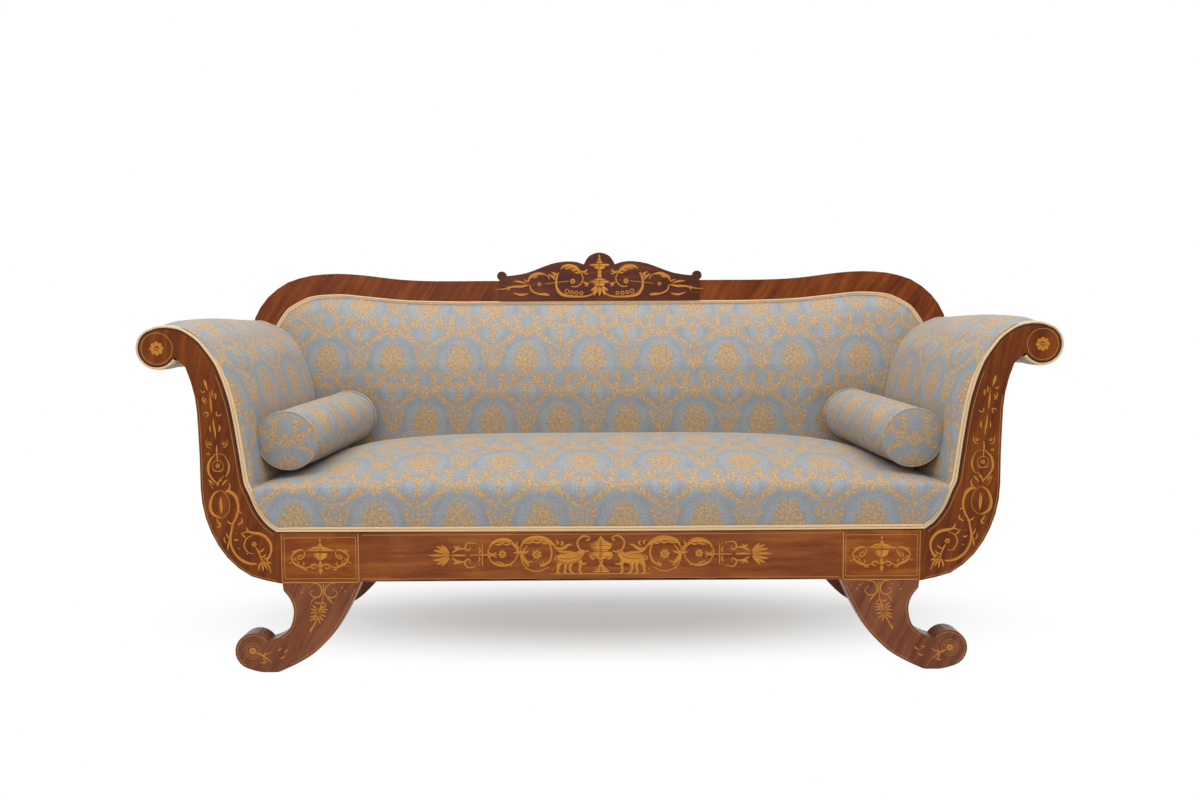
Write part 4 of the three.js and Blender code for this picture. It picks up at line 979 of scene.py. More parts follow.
def backPiece():
    # A patch between the foot line, the two sides and the crest's inner edge, closer rows near the crest
    columns, rows, fine = back["columns"], back["rows"], 400
    inset = arm["gimpWidth"] - back["underGimp"]
    top = evenLine(crestInner[::-1] + leftNormals(crestInner)[::-1] * inset, columns)
    above = sideInner[:, 1] > back["foot"]
    side = sideInner[above] + leftNormals(sideInner)[above] * inset
    right = evenLine(np.vstack([side, top[-1:]]), rows)
    steps = np.linspace(0, 1, rows) ** 0.9
    right = evenLine(right, fine)[(steps * (fine - 1)).astype(int)]
    left = right * np.array([-1, 1])
    patch = coonsPatch(left, right, top, np.linspace(0, 1, columns)[:, None, None], steps[None, :, None])
    rim = evenLine(np.vstack([left, top[1:], right[-2::-1]]), back["rimPoints"])
    near = distanceTo(patch.reshape(-1, 2), rim).reshape(patch.shape[:2])
    x, z = patch[..., 0], patch[..., 1]
    share = (z - back["foot"]) / (top[:, None, 1] - back["foot"])
    thick = np.interp(share, backPadShares[:, 0], backPadShares[:, 1])
    crown = 1 - back["draw"] * np.abs(x / np.abs(top[:, 0]).max()) ** back["power"]
    rolled = np.sqrt(1 - (1 - np.clip((near - back["rollStart"]) / back["rollWidth"], 0, 1)) ** 2)
    depth = leaning(z, 0) - back["thickness"] * thick * crown * (0.05 + 0.95 * rolled)
    face = np.stack([x, depth, z], axis=2)
    behind = np.stack([x[:, [-1, 0]], leaning(z[:, [-1, 0]], 9), z[:, [-1, 0]]], axis=2)
    face = stuffed(face, np.array([0.0, 760.0, 700.0]), smoothStep(near, 2, 30) * besideBolsters(face),
                   back["pressure"], back["slack"], back["cap"])
    grid = np.concatenate([face, behind], axis=1)
    steps = np.linalg.norm(np.diff(face, axis=1), axis=2)
    run = np.concatenate([np.zeros((columns, 1)), np.cumsum(steps, axis=1)], axis=1)
    cloth = np.stack([x * back["patternScale"] + back["patternAcross"],
                      run * back["patternScale"] + back["patternUp"]], axis=2)
    cloth = np.concatenate([cloth, cloth[:, -1:], cloth[:, :1], cloth[:, :1]], axis=1) * mm
    piece = gridPiece("back_cushion", grid, silk, "sofa", cloth, wrapColumns=True, ends="fan")
    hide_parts("back_pad")
    return piece


backPiece()
print("back made")


# Double-piped gimp
gimp = {
    "cordRadius": 3.15,
    "cordOffset": 3.4,
    "cordPitch": 6.2,
    "proud": 1.0,
    "rollIn": 1.2,  # mm by which both cords draw in over the roll
    "blend": 8,  # points to either side over which the second cord turns in
    "frontPoints": 900,
    "backPoints": 500,
}


def gimpPieces():
    # Two cords side by side in the rebate; over the roll the second one turns in behind the first
    rail = np.array([(0.0, sofa["railTop"])])
    right = np.vstack([rail, armSpine[:-2]])
    line = evenLine(np.vstack([right[:0:-1] * np.array([-1, 1]), right]), gimp["frontPoints"])[::-1]
    normals = -leftNormals(line)
    fold = np.where(line[:, :1] < 0, [[-1, 1]], [[1, 1]])
    reach = gimpReach(line * fold, normals * fold)
    flat = np.clip((reach - arm["gimpEdge"]) / (arm["gimpWidth"] - arm["gimpEdge"]), 0, 1)
    window = np.ones(2 * gimp["blend"] + 1)
    flat = np.convolve(np.pad(flat, gimp["blend"], mode="edge"), window / len(window), mode="valid")
    turn = np.sqrt(np.clip(1 - flat**2, 0, 1))
    r, pitch = gimp["cordRadius"], gimp["cordPitch"]
    for k in (0, 1):
        off = gimp["cordOffset"] - gimp["rollIn"] * turn + k * pitch * flat
        depth = r - gimp["proud"] + k * pitch * turn
        spot = line + normals * off[:, None]
        path = np.stack([spot[:, 0], depth, spot[:, 1]], axis=1)
        tubePiece(f"seat_gimp_cord_{k + 1}", path, r, 10, gimpYarn, "sofa")
    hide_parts("seat_gimp")
    shoulder = sideInner[-6:]
    opening = np.vstack([shoulder, crestInner[1:], (shoulder * np.array([-1, 1]))[::-1][1:]])
    opening = evenLine(opening, gimp["backPoints"])
    backNormals = leftNormals(opening)
    for k in (0, 1):
        spot = opening + backNormals * (gimp["cordOffset"] + k * pitch)
        path = np.stack([spot[:, 0], leaning(spot[:, 1], r - gimp["proud"]), spot[:, 1]], axis=1)
        tubePiece(f"back_gimp_cord_{k + 1}", path, r, 10, gimpYarn, "sofa")
    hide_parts("back_gimp")


gimpPieces()
print("gimp made")


# Cloth that is tacked flat: outer covers in silk, hessian, webbing and bottom cloth in jute
flatCloth = {
    "coverInset": 2.0,
    "coverThickness": 2.5,
    "hessianThickness": 2.5,
    "backCoverInset": 14.0,
    "backCoverDepths": (36.3, 34.3),  # of its two faces behind the face of the leaning frame
    "backCoverPatternUp": -420.0,
    "backHessianDepths": (10.0, 12.0),
    "stileWidth": 62.0,
    "cornerX": 950.0,  # where the crest's end becomes the back's side
    "coverPatternUp": 60.0,
    "webWidth": 52.0,
    "webPitch": 130.0,  # mm between the bands that run from front to back
    "webThickness": 0.9,
    "webMiddle": 227.7,
    "sag": 3.0,  # of the bottom cloth
    "bottomHeights": (225.2, 226.4),  # of its two faces at its edges
    "behindFacing": 32.3,  # depth where the arm's sheets start
    "beforeRear": -28.3,  # where they stop, from the back's face
    "hessianInset": 12.3,
}
# How far the seat's sheets and bands reach on its frame: half lengths, then depths of the front and back
framePlan = {
    "half": 790.4,
    "front": 58.6,
    "back": 597.4,
    "slopeAcross": 72.0,
    "slopeAlong": 34.0,
    "bottomHalf": 779.0,
    "bottomDepths": (11.2, 620.8),
    "blockDepths": (58.6, 573.4),  # between the leg blocks
    "webHalf": 790.6,
    "webDepths": (12.3, 619.7),
}
crestOuterShares = [
    (1, 0), (1, 0.152), (0.996, 0.242), (0.984, 0.424), (0.967, 0.606), (0.944, 0.780), (0.911, 0.962),
    (0.872, 1.076), (0.825, 1.152), (0.755, 1.180), (0.686, 1.144), (0.639, 1.098), (0.593, 1.053),
    (0.547, 1.023), (0.477, 1.002), (0.349, 1), (0.16, 1),
]


def slabPiece(name, face, behind, cloth, material):
    # A thin closed slab: each row runs out along the face and home along the back. cloth holds the
    # place of each point on the flat cloth in mm; its area is the sum of the flat quads.
    grid = np.concatenate([face, behind[:, ::-1]], axis=1)
    spots = np.concatenate([cloth, cloth[:, ::-1], cloth[:, :1]], axis=1) * mm
    piece = gridPiece(name, grid, material, "sofa", spots, wrapColumns=True, ends="zip")
    return piece


def armSheet(name, side, line, first, second, material, patternUp):
    # From behind the facing to the rear board, between two offsets of a line in the facing's plane
    shares = np.linspace(0, 1, 40)[:, None]
    normals = leftNormals(line)
    run = runAlong(line)
    grids = []
    for reach in (first, second):
        spot = line + normals * reach
        start = flatCloth["behindFacing"]
        depth = start + shares * (leaning(spot[:, 1], flatCloth["beforeRear"]) - start)
        x, z = np.broadcast_to(side * spot[:, 0], depth.shape), np.broadcast_to(spot[:, 1], depth.shape)
        grids.append(np.stack([x, depth, z], axis=2))
    cloth = np.stack([grids[0][..., 1], np.broadcast_to(run + patternUp, grids[0].shape[:2])], axis=2)
    piece = slabPiece(name, grids[0], grids[1], cloth, material)
    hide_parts(name.replace("_cloth", ""))


def leaningSheet(name, side, top, depths, material, patternUp):
    # Between mirrored sides, up to a line across the top, from one depth behind the back's face to another
    rows, columns = 61, 121
    right = evenLine(side, rows)
    u, w = np.linspace(0, 1, columns)[:, None, None], np.linspace(0, 1, rows)[None, :, None]
    patch = coonsPatch(right * np.array([-1, 1]), right, evenLine(top, columns), u, w)
    x, z = patch[..., 0], patch[..., 1]
    face, behind = (np.stack([x, leaning(z, offset), z], axis=2) for offset in depths)
    cloth = np.stack([x, z + patternUp], axis=2)
    piece = slabPiece(name, face, behind, cloth, material)
    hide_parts(name.replace("_cloth", ""))


def backSheets():
    # The outer cover follows the crest and the stiles; the hessian fills the opening inside the gimp
    value = flatCloth
    floor = sofa["railTop"] + 0.4
    inner = leftNormals(sideInner)
    crestRightSide = placed(crestOuterShares, 0, sofa["backHalfWidth"], sofa["shoulderZ"],
                            sofa["crestZ"] - sofa["shoulderZ"])
    crest = smoothLine(crestRightSide + [(-x, z) for x, z in crestRightSide[::-1]], 400)
    crest = crest + leftNormals(crest) * value["backCoverInset"]
    stile = sideInner - inner * (value["stileWidth"] - value["backCoverInset"])
    corner = int(np.argmax(crest[:, 0] < value["cornerX"]))
    straight = (stile[:, 1] > floor) & (stile[:, 1] < sofa["shoulderZ"] - 4)
    side = np.vstack([stile[straight], crest[3:corner + 1]])
    side = np.vstack([[np.interp(floor, stile[:, 1], stile[:, 0]), floor], side])
    leaningSheet("back_outer_cover_cloth", side, crest[corner:len(crest) - corner][::-1],
                 value["backCoverDepths"], silk,
                 value["backCoverPatternUp"])
    gimpEdge = arm["gimpWidth"] + 0.3
    opening = sideInner + inner * gimpEdge
    side = np.vstack([[np.interp(floor, opening[:, 1], opening[:, 0]), floor],
                      opening[opening[:, 1] > floor]])
    top = (crestInner + leftNormals(crestInner) * gimpEdge)[::-1]
    top = top[(top[:, 1] > side[-1, 1] - 1)]
    side = np.vstack([side[:-1], top[-1:]])
    leaningSheet("back_hessian_cloth", side, top, value["backHessianDepths"], jute,
                 0.0)


def slopeHeight(x, y, inset, low, high):
    # Height over the springs: up the four sloping borders, then level
    value = framePlan
    half, front, back = value["half"] - inset, value["front"] + inset, value["back"] - inset
    share = np.minimum((half - np.abs(x)) / value["slopeAcross"],
                       np.minimum(y - front, back - y) / value["slopeAlong"])
    return low + (high - low) * np.clip(share, 0, 1)


def seatHessianPiece():
    low, high = sofa["railTop"] + 0.3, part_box("seat_hessian")[1][2] / mm
    half, front, back = framePlan["half"], framePlan["front"], framePlan["back"]
    slopeX, slopeY, thin = framePlan["slopeAcross"], framePlan["slopeAlong"], 2.0
    side = np.linspace(half - slopeX, half, 13)
    u = np.concatenate([-side[::-1], np.linspace(-700, 700, 61), side])
    v = np.concatenate([np.linspace(front, front + slopeY, 9), np.linspace(105, 551, 21),
                        np.linspace(back - slopeY, back, 9)])
    x, y = np.meshgrid(u, v, indexing="ij")
    face = np.stack([x, y, slopeHeight(x, y, 0, low, high)], axis=2)
    middle, reach = (front + back) / 2, (back - front) / 2
    x2, y2 = x * ((half - thin) / half), middle + (y - middle) * ((reach - thin) / reach)
    behind = np.stack([x2, y2, slopeHeight(x2, y2, thin, low, high - thin)], axis=2)

    def unfolded(away, stop, slope):
        # flat, each border is as wide as its slope
        beyond = np.maximum(0, np.abs(away) - stop)
        return np.sign(away) * (np.minimum(np.abs(away), stop) + beyond * np.hypot(slope, high - low) / slope)

    across, along = unfolded(x, half - slopeX, slopeX), unfolded(y - middle, reach - slopeY, slopeY)
    piece = slabPiece("seat_hessian_cloth", face, behind, np.stack([across, along], axis=2), jute)
    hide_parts("seat_hessian")


def bottomClothPiece():
    # Cut out round the four leg blocks
    half, blockEdge = framePlan["bottomHalf"], sofa["baseHalfLength"] - sofa["blockWidth"]
    side = np.linspace(blockEdge + 0.2, half, 15)
    u = np.concatenate([-side[::-1], np.linspace(0.2 - blockEdge, blockEdge - 0.2, 61), side])
    narrow = np.abs(u) > blockEdge
    front, back = (np.where(narrow, *depths)
                   for depths in zip(framePlan["blockDepths"], framePlan["bottomDepths"]))
    v = np.linspace(0, 1, 41)
    y = front[:, None] + (back - front)[:, None] * v
    x = np.broadcast_to(u[:, None], y.shape)
    sag = flatCloth["sag"] * (1 - (x / half) ** 4) * (1 - (2 * v[None, :] - 1) ** 4)
    face, behind = (np.stack([x, y, height - sag], axis=2) for height in flatCloth["bottomHeights"])
    piece = slabPiece("seat_bottom_cloth_sheet", face, behind, np.stack([x, y], axis=2), jute)
    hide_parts("seat_bottom_cloth")


def webbingPiece():
    # Bands woven over and under: height = middle + 0.5 mm * cos(pi * run / pitch), turned over for each
    # second band
    half, thick, count = flatCloth["webWidth"] / 2, flatCloth["webThickness"] / 2, 241
    rows = [(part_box(f"seat_spring_row_{k}")[0][1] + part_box(f"seat_spring_row_{k}")[1][1]) / 2 / mm
            - frontY / mm for k in (1, 2, 3)]
    pitch = flatCloth["webPitch"]
    points, faces, cloth, total = [], [], [], 0.0
    bands = [("x", y, -framePlan["webHalf"], framePlan["webHalf"], k) for k, y in enumerate(rows)]
    bands += [("y", k * pitch, *framePlan["blockDepths" if abs(k) == 5 else "webDepths"], k)
              for k in range(-5, 6)]
    for way, middle, start, stop, number in bands:
        run = np.linspace(start, stop, count)
        if way == "x":
            wave = 0.5 * np.cos(np.pi * run / pitch + np.pi * number)
        else:
            near = np.exp(-((run[:, None] - np.array(rows)) / 45) ** 2)
            wave = -0.5 * (near * np.cos(np.pi * (number + np.arange(3)))).sum(axis=1)
        edge = np.array([middle - half, middle + half, middle + half, middle - half])
        lift = np.array([-thick, -thick, thick, thick])
        along, side = np.broadcast_to(run[:, None], (count, 4)), np.broadcast_to(edge, (count, 4))
        height = flatCloth["webMiddle"] + wave[:, None] + lift
        x, y = (along, side) if way == "x" else (side, along)
        grid = np.stack([x, y, height], axis=2).reshape(-1, 3)
        quads, _ = gridFaces(count, 4, False, True)
        last = 4 * (count - 1)
        quads = np.vstack([quads, [[0, 1, 2, 3], [last, last + 3, last + 2, last + 1]]])
        if volumeOf(grid, quads) < 0:
            quads = quads[:, ::-1]
        faces += (quads + sum(len(p) for p in points)).tolist()
        points.append(grid)
        cloth.append(grid[quads.ravel()][:, [0, 1]] * mm)
        total += (stop - start) * 2 * half * mm * mm
    piece = addMesh("seat_webbing_bands", np.vstack(points), faces, jute, "sofa", np.vstack(cloth))
    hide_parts("seat_webbing")
    print("seat_webbing_bands area", round(total, 3))


value = flatCloth
for side in (1, -1):
    word = sideWord(side)
    keep = (armOuter[:, 0] > sofa["baseHalfLength"] + 0.3) & (armOuter[:, 1] < 786)
    armSheet(f"arm_outer_cover_{word}_cloth", side, armOuter[keep], value["coverInset"],
             value["coverInset"] + value["coverThickness"], silk,
             value["coverPatternUp"])
    stop = int(np.argmax(armSpine[:, 0] > sofa["scrollX"] - sofa["scrollRadius"])) + 1
    spine = armSpine[:stop][armSpine[:stop, 1] > sofa["railTop"] + 12]
    armSheet(f"arm_hessian_{word}_cloth", side, spine, -value["hessianInset"],
             -value["hessianInset"] - value["hessianThickness"], jute,
             0.0)
backSheets()
seatHessianPiece()
bottomClothPiece()
webbingPiece()
print("tacked cloth made")


# Marquetry
inlay = {
    "proud": 0.15,  # mm that the plates stand out, and more by a little for each next one
    "sunk": 0.3,
    "lineHalfWidth": 0.55,
    "fineHalfWidth": 0.5,  # of the lines that follow the arm's and the leg's edges
    "bandHalfWidth": 1.7,
    "panelMiddle": 294.0,  # height of the middle of the rail's and the blocks' panels
    "railLines": (344.0, 234.0),  # heights of the two lines along the rail
    "railHalf": 590.0,
    "blockBorder": (88.0, 47.0, -56.0),  # half width, top and foot of the border about its middle
    "armOuterInset": 5.0,  # mm from the edge of the wood to the line beside it
    "armInnerInset": 9.0,
    "legInset": 5.5,
    "legReach": 314.0,  # from the leg's inner corner to the far side of its scroll
    "scrollMiddle": (268.0, 53.0),  # across from that corner, and up
    "scrollLine": 40.5,  # radius
}
# Each list is one cut shape: points along its middle as (across, up, half width), in mm. Across runs
# outwards on the right half of the sofa; up is from the panel's middle, or from the floor where noted.
railHalf = [
    [(28, 43, 1.2), (42, 46, 2.2), (54, 38, 2.2), (58, 28, 2.2), (53, 13, 2.4), (41, 6, 2.2), (29, 9, 1.6)],
    [(28, 43, 1.2), (30, 36, 2.2), (36, 35, 1.4)], [(29, -2, 1.2), (23, -9, 3), (16, -13, 1.5)],
    [(108, -8, 4), (101, -10, 10), (88, -12, 13), (74, -11, 13.5), (61, -8, 12.5), (52, -4, 9),
     (45, -3, 4)], [(104, 6, 1), (92, 5, 2.6), (74, 4, 3.2), (58, 0, 3)],
    [(102, 0, 1), (88, -2, 2), (72, -4, 2.4)], [(58, 3, 4), (50, 2, 6), (42, -2, 3)],
    [(46, 6, 1), (43, 9, 1.6), (41, 12, 0.6)],
    [(98, -16, 8), (106, -29, 4.6), (106, -38, 3), (109, -45, 2.6), (102, -47, 1.6)],
    [(88, -20, 6), (88, -33, 3.2), (90, -45, 2.4), (84, -47, 1.4)],
    [(73, -20, 6), (77, -33, 3.4), (74, -44, 2.6), (67, -47, 1.6)],
    [(54, -12, 6), (51, -27, 4), (53, -38, 2.8), (52, -45, 2.4), (46, -47, 1.6)],
    [(52, -20, 4), (43, -25, 2.4), (35, -23, 1.6)],
    [(100, -6, 1.2), (110, -4, 1.6), (114, -11, 1.6), (110, -16, 1)],
    [(125, -49, 0.8), (60, -49, 1.3), (-2, -49, 1.3)],
    [(116, 24, 1), (109, 15, 3.2), (96, 13, 4.4), (81, 22, 3.2), (71, 25, 1)],
    [(111, 36, 1), (106, 30, 2.6), (109, 24, 1)], [(98, 33, 1), (94, 28, 2.6), (99, 21, 1)],
    [(108, 10, 0.8), (100, 6, 2), (96, 8, 0.8)],
    [(198, 17, 1), (188, 33, 3.6), (169, 40, 5.6), (147, 40, 6), (128, 32, 5.4), (114, 21, 2)],
    [(190, 28, 0.6), (176, 29, 2.4), (166, 33, 2)], [(172, 33, 0.6), (156, 29, 2.6), (146, 34, 2)],
    [(152, 33, 0.6), (138, 27, 2.4), (130, 31, 2)],
    [(130, 30, 1.6), (123, 15, 2.2), (122, -2, 2.2), (129, -19, 2.6), (146, -28, 2.6), (149, -22, 1.4)],
    [(197, 17, 1), (199, 2, 1.4), (192, -24, 1.4), (175, -39, 1.4), (152, -42, 1.4), (128, -32, 0.8)],
    [(181, 22, 1), (191, 10, 2), (192, -4, 2), (180, -19, 2), (168, -17, 1.4)],
    [(143, -18, 1), (142, -25, 3), (149, -31, 1)],
    [(215, 4, 1), (205, 5, 3), (196, 4, 4), (185, 5, 2.6), (178, 9, 1)],
    [(205, 9, 1), (203, 13, 2.4), (207, 18, 1)],
    [(199, 2, 2), (192, -9, 4.6), (185, -19, 4), (178, -30, 1)],
    [(205, 33, 1.4), (209, 22, 2.6), (201, 17, 1.4)],
    [(276, 19, 1), (264, 30, 3.6), (243, 36, 5.6), (224, 32, 5), (209, 17, 1.6)],
    [(262, 24, 0.6), (250, 25, 2.4), (240, 29, 2)], [(243, 28, 0.6), (232, 24, 2.2), (224, 27, 1.8)],
    [(274, -13, 1), (263, -23, 2.6), (243, -28, 3), (223, -24, 2.2), (211, -12, 0.8)],
    [(262, -19, 0.6), (250, -20, 1.8), (240, -24, 1.4)], [(211, 17, 1.5), (205, 4, 1.5), (211, -13, 1.5)],
    [(271, 20, 1), (278, 11, 1.4), (278, -4, 1.4), (272, -14, 1)],
    [(324, -1, 1.2), (289, -1, 1.5), (256, 0, 1.5)], [(277, 6, 1), (268, 0, 2), (258, 6, 1)],
    [(277, -8, 1), (268, -2, 2), (258, -8, 1)], [(293, 26, 1), (293, -1, 1.5), (293, -28, 1)],
    [(303, 18, 1), (298, 11, 2), (302, 3, 1)], [(304, -20, 1), (299, -12, 2), (302, -5, 1)],
    [(307, 28, 1), (326, 30, 1.6), (334, 23, 2), (333, 13, 2), (325, 11, 1.6), (322, 18, 1)],
    [(307, -29, 1), (327, -32, 1.6), (335, -24, 2), (334, -15, 2), (325, -12, 1.6), (323, -20, 1)],
    [(336, 15, 1), (351, 15, 3), (367, 6, 1.5)], [(336, -17, 1), (352, -17, 3), (367, -8, 1.5)],
    [(333, -1, 1.5), (351, -1, 2.6), (369, -1, 1)], [(349, 23, 1), (357, 18, 2.6), (363, 23, 1)],
    [(349, -24, 1), (358, -19, 2.6), (364, -24, 1)], [(373, -1, 1), (403, -1, 3), (425, -1, 0.6)],
    [(376, 1, 1), (397, 9, 3.6), (413, 11, 1.2)], [(376, -3, 1), (397, -11, 3.6), (414, -13, 1.2)],
    [(375, 4, 1), (391, 15, 3.6), (405, 21, 1.2)], [(375, -6, 1), (391, -17, 3.6), (406, -23, 1.2)],
    [(374, 5, 1), (383, 16, 3), (393, 25, 1)], [(374, -7, 1), (384, -18, 3), (394, -28, 1)],
]
railMiddle = [
    [(0, 46, 0.4), (0, 43, 3), (0, 40, 1.6)], [(0, 40, 4), (0, 37, 8), (0, 34.5, 9)],
    [(0, 33.5, 12), (0, 30, 19), (0, 28.4, 20)], [(0, 27.4, 25), (0, 24.4, 27), (0, 22.4, 27)],
    [(0, 21, 27), (0, 16, 25), (0, 12, 22)], [(0, 10.6, 21), (0, 8.4, 17), (0, 7, 18)],
    [(0, 5.4, 26), (0, 2, 29), (0, -2, 27), (0, -6, 22)],
    [(0, -7, 20), (0, -10, 13), (0, -13, 5), (0, -15, 3)], [(0, -16.4, 6), (0, -18, 7), (0, -19.4, 5)],
    [(0, -20, 3), (0, -24, 3.4), (0, -30, 8), (0, -34, 13)], [(0, -35.6, 15), (0, -39, 17)],
    [(0, -40.6, 20), (0, -45.6, 21)],
]
railRosettes = [(158, 0, 12, 7), (243, 1, 10, 7)]  # across, up, radius, petals
railDots = [
    (194, -3, 2.2), (221, 30, 1.8), (221, -28, 1.8), (300, 25, 1.6), (300, -26, 1.6), (186, -36, 2),
    (120, -38, 1.8),
]
blockHalf = [
    [(37, 12, 0.7), (26, 14, 1.7), (15, 18, 3.4), (-1, 20, 4.6)],
    [(6, -27, 1.4), (13, -22, 2.1), (21, -24, 2.2), (25, -29, 1.6)],
    [(25, -29, 1), (19, -32, 1.6), (12, -31, 1)],
    [(25, -27, 1), (37, -31, 2), (51, -26, 3), (63, -20, 2.6), (69, -10, 2)],
    [(69, -10, 1.4), (71, -3, 1.7), (64, 6, 2.3), (53, 13, 2.6), (41, 14, 1)],
    [(41, 13, 0.7), (38, 4, 1.4), (43, -5, 1.7), (52, -9, 1.4), (54, -3, 1.4), (48, 0, 1.7), (43, 2, 1)],
    [(67, -7, 0.7), (62, -10, 1.4), (58, -13, 0.7)], [(56, -21, 0.7), (54, -17, 1.7), (57, -14, 0.7)],
    [(43, -26, 0.7), (40, -20, 1.7), (42, -17, 0.7)], [(69, -16, 0.7), (74, -19, 1.4), (77, -16, 0.7)],
    [(60, 14, 0.6), (64, 11, 1.6), (70, 11, 0.6)], [(30, -34, 0.6), (37, -36, 1.6), (43, -33, 0.6)],
]
blockMiddle = [
    [(0, 43, 0.3), (0, 38, 2.4), (0, 34, 1)],
    [(0, 32, 1), (0, 27, 4), (0, 22, 6), (0, 18, 14), (0, 15, 20)],
    [(0, 14, 26), (0, 12.6, 34), (0, 11, 36)],
    [(0, 6, 18), (0, 2, 17), (0, -4, 15), (0, -8, 10), (0, -11, 3.4)],
    [(0, -12, 1.7), (0, -16, 2.6), (0, -22, 4), (0, -27, 6), (0, -30, 3.4)],
    [(0, -32, 1.7), (0, -38, 5.6), (0, -42, 2.7), (0, -48, 0.5)],
]
# Arm facing, up from the floor
facingShapes = [
    [(966, 732, 0.3), (965, 726, 2.9), (963, 718, 3.2), (961, 711, 1.8), (959, 704, 0.5)],
    [(975, 705, 0.5), (971, 699, 1.6), (965, 703, 1.1)],
    [(969, 690, 0.5), (972, 684, 1.3), (969, 678, 1.6), (964, 682, 1.1), (966, 687, 0.5)],
    [(971, 679, 0.5), (967, 673, 1.3), (962, 676, 0.5)],
    [(946, 706, 0.5), (948, 697, 1.6), (945, 688, 0.5)],
    [(942, 698, 0.5), (939, 691, 2.1), (941, 682, 0.8)],
    [(954, 702, 0.5), (953, 689, 1.1), (952, 673, 2.4), (951, 659, 1.6), (950, 649, 0.8)],
    [(970, 645, 0.5), (966, 650, 1.3), (960, 649, 1.6), (960, 643, 1.3), (964, 639, 0.5)],
    [(926, 647, 0.5), (931, 642, 1.3), (937, 643, 1.6), (939, 649, 1.3), (936, 651, 0.5)],
    [(947, 636, 0.5), (947, 625, 1.6), (945, 609, 2.4), (943, 596, 1.6), (942, 586, 0.5)],
    [(955, 619, 0.5), (956, 610, 1.8), (954, 602, 0.5)],
    [(933, 620, 0.5), (932, 611, 2.4), (934, 602, 0.8)],
    [(966, 583, 0.5), (966, 573, 1.1), (962, 564, 1.1), (955, 563, 0.5)],
    [(915, 584, 0.5), (915, 573, 1.1), (920, 565, 1.1), (926, 564, 0.5)],
    [(940, 571, 0.5), (941, 559, 2.1), (941, 547, 1.6), (940, 536, 1.3), (940, 529, 1.1)],
    [(966, 545, 0.5), (963, 550, 1.6), (958, 550, 0.5)],
    [(945, 545, 0.7), (957, 534, 2.4), (963, 518, 3.1), (962, 501, 2.7), (952, 484, 2.1), (938, 471, 1)],
    [(950, 546, 0.7), (938, 548, 0.7), (924, 545, 0.7), (915, 530, 1.4), (912, 516, 2.4), (915, 501, 1.7),
     (922, 491, 0.7)], [(953, 511, 0.6), (946, 505, 0.8), (932, 505, 0.8), (926, 511, 0.6)],
    [(943, 468, 1), (938, 478, 1.7), (932, 489, 1)], [(930, 470, 1), (923, 479, 2.1), (916, 484, 0.7)],
    [(950, 471, 0.7), (955, 478, 1.7), (962, 485, 0.7)],
    [(964, 484, 0.7), (960, 478, 1.4), (957, 468, 1), (951, 462, 0.7)],
    [(914, 477, 0.7), (911, 469, 1.7), (914, 460, 2.1), (921, 453, 1)],
    [(934, 458, 0.7), (949, 451, 2.1), (959, 433, 3.1), (961, 412, 3.8), (953, 397, 3.1), (936, 389, 1)],
    [(934, 458, 0.6), (920, 446, 0.7), (913, 424, 0.8), (916, 405, 0.8), (928, 391, 0.7), (936, 389, 0.6)],
    [(934, 443, 0.3), (935, 433, 2.7), (935, 423, 4.1), (934, 410, 3.1), (935, 400, 0.3)],
    [(923, 453, 1.4), (915, 455, 3.6), (902, 447, 4.2), (895, 433, 3.1), (892, 412, 2.7), (898, 391, 2.4),
     (907, 374, 2.1), (911, 356, 2.4), (914, 339, 2.7), (912, 318, 2.4), (901, 296, 2.7), (884, 281, 3.4),
     (865, 274, 2.7), (850, 274, 1.7)],
    [(945, 389, 0.7), (944, 379, 1.7), (938, 373, 2.4), (941, 366, 1.7), (946, 369, 0.7)],
    [(920, 383, 0.7), (915, 376, 2.1), (904, 374, 1.4)],
    [(885, 389, 0.7), (884, 379, 2.1), (894, 372, 1.4)],
    [(897, 401, 0.7), (889, 404, 1.7), (884, 399, 0.7)], [(924, 353, 0.7), (921, 344, 1.7), (916, 336, 1)],
    [(928, 342, 0.7), (929, 334, 1.7), (924, 326, 1)], [(917, 333, 1), (920, 320, 2.1), (922, 308, 0.7)],
    [(905, 336, 1), (899, 333, 2.1), (894, 336, 0.7)],
    [(885, 350, 0.7), (871, 354, 2.1), (857, 351, 3.4), (839, 348, 3.8), (824, 338, 3.4), (815, 322, 3.1),
     (815, 303, 2.7), (824, 285, 2.4), (832, 276, 1)],
    [(858, 345, 0.7), (872, 339, 1.4), (880, 324, 1.7), (877, 310, 1.4), (866, 300, 1), (856, 301, 0.7)],
    [(874, 367, 0.7), (872, 359, 2.1), (863, 352, 1.4)],
    [(887, 351, 0.7), (881, 344, 2.1), (875, 338, 0.7)],
    [(851, 314, 1.4), (846, 305, 2.1), (841, 293, 1.7), (837, 280, 2.1)],
    [(845, 303, 0.7), (836, 307, 2.1), (831, 313, 0.7)],
    [(842, 290, 0.7), (831, 293, 2.1), (827, 299, 0.7)], [(840, 279, 1), (845, 268, 2.4), (846, 257, 0.7)],
    [(839, 278, 1), (836, 266, 2.4), (835, 255, 0.7)], [(836, 278, 1), (829, 268, 2.4), (825, 259, 0.7)],
    [(835, 279, 1), (823, 271, 2.1), (815, 250, 0.7)], [(834, 281, 1), (823, 278, 2.4), (814, 274, 0.7)],
    [(834, 285, 0.7), (825, 288, 2.1), (816, 290, 0.7)],
]
facingRosettes = [(939.4, 518.6, 6.2, 6), (855.4, 322.9, 7, 6)]
facingDots = [
    (932, 483, 2.1), (894, 313, 2), (928, 491, 2), (960, 547, 1.6), (958, 572, 2.7), (923, 572, 2.7),
    (968, 684, 0.9), (873, 300, 1.8), (900, 350, 1.5),
]
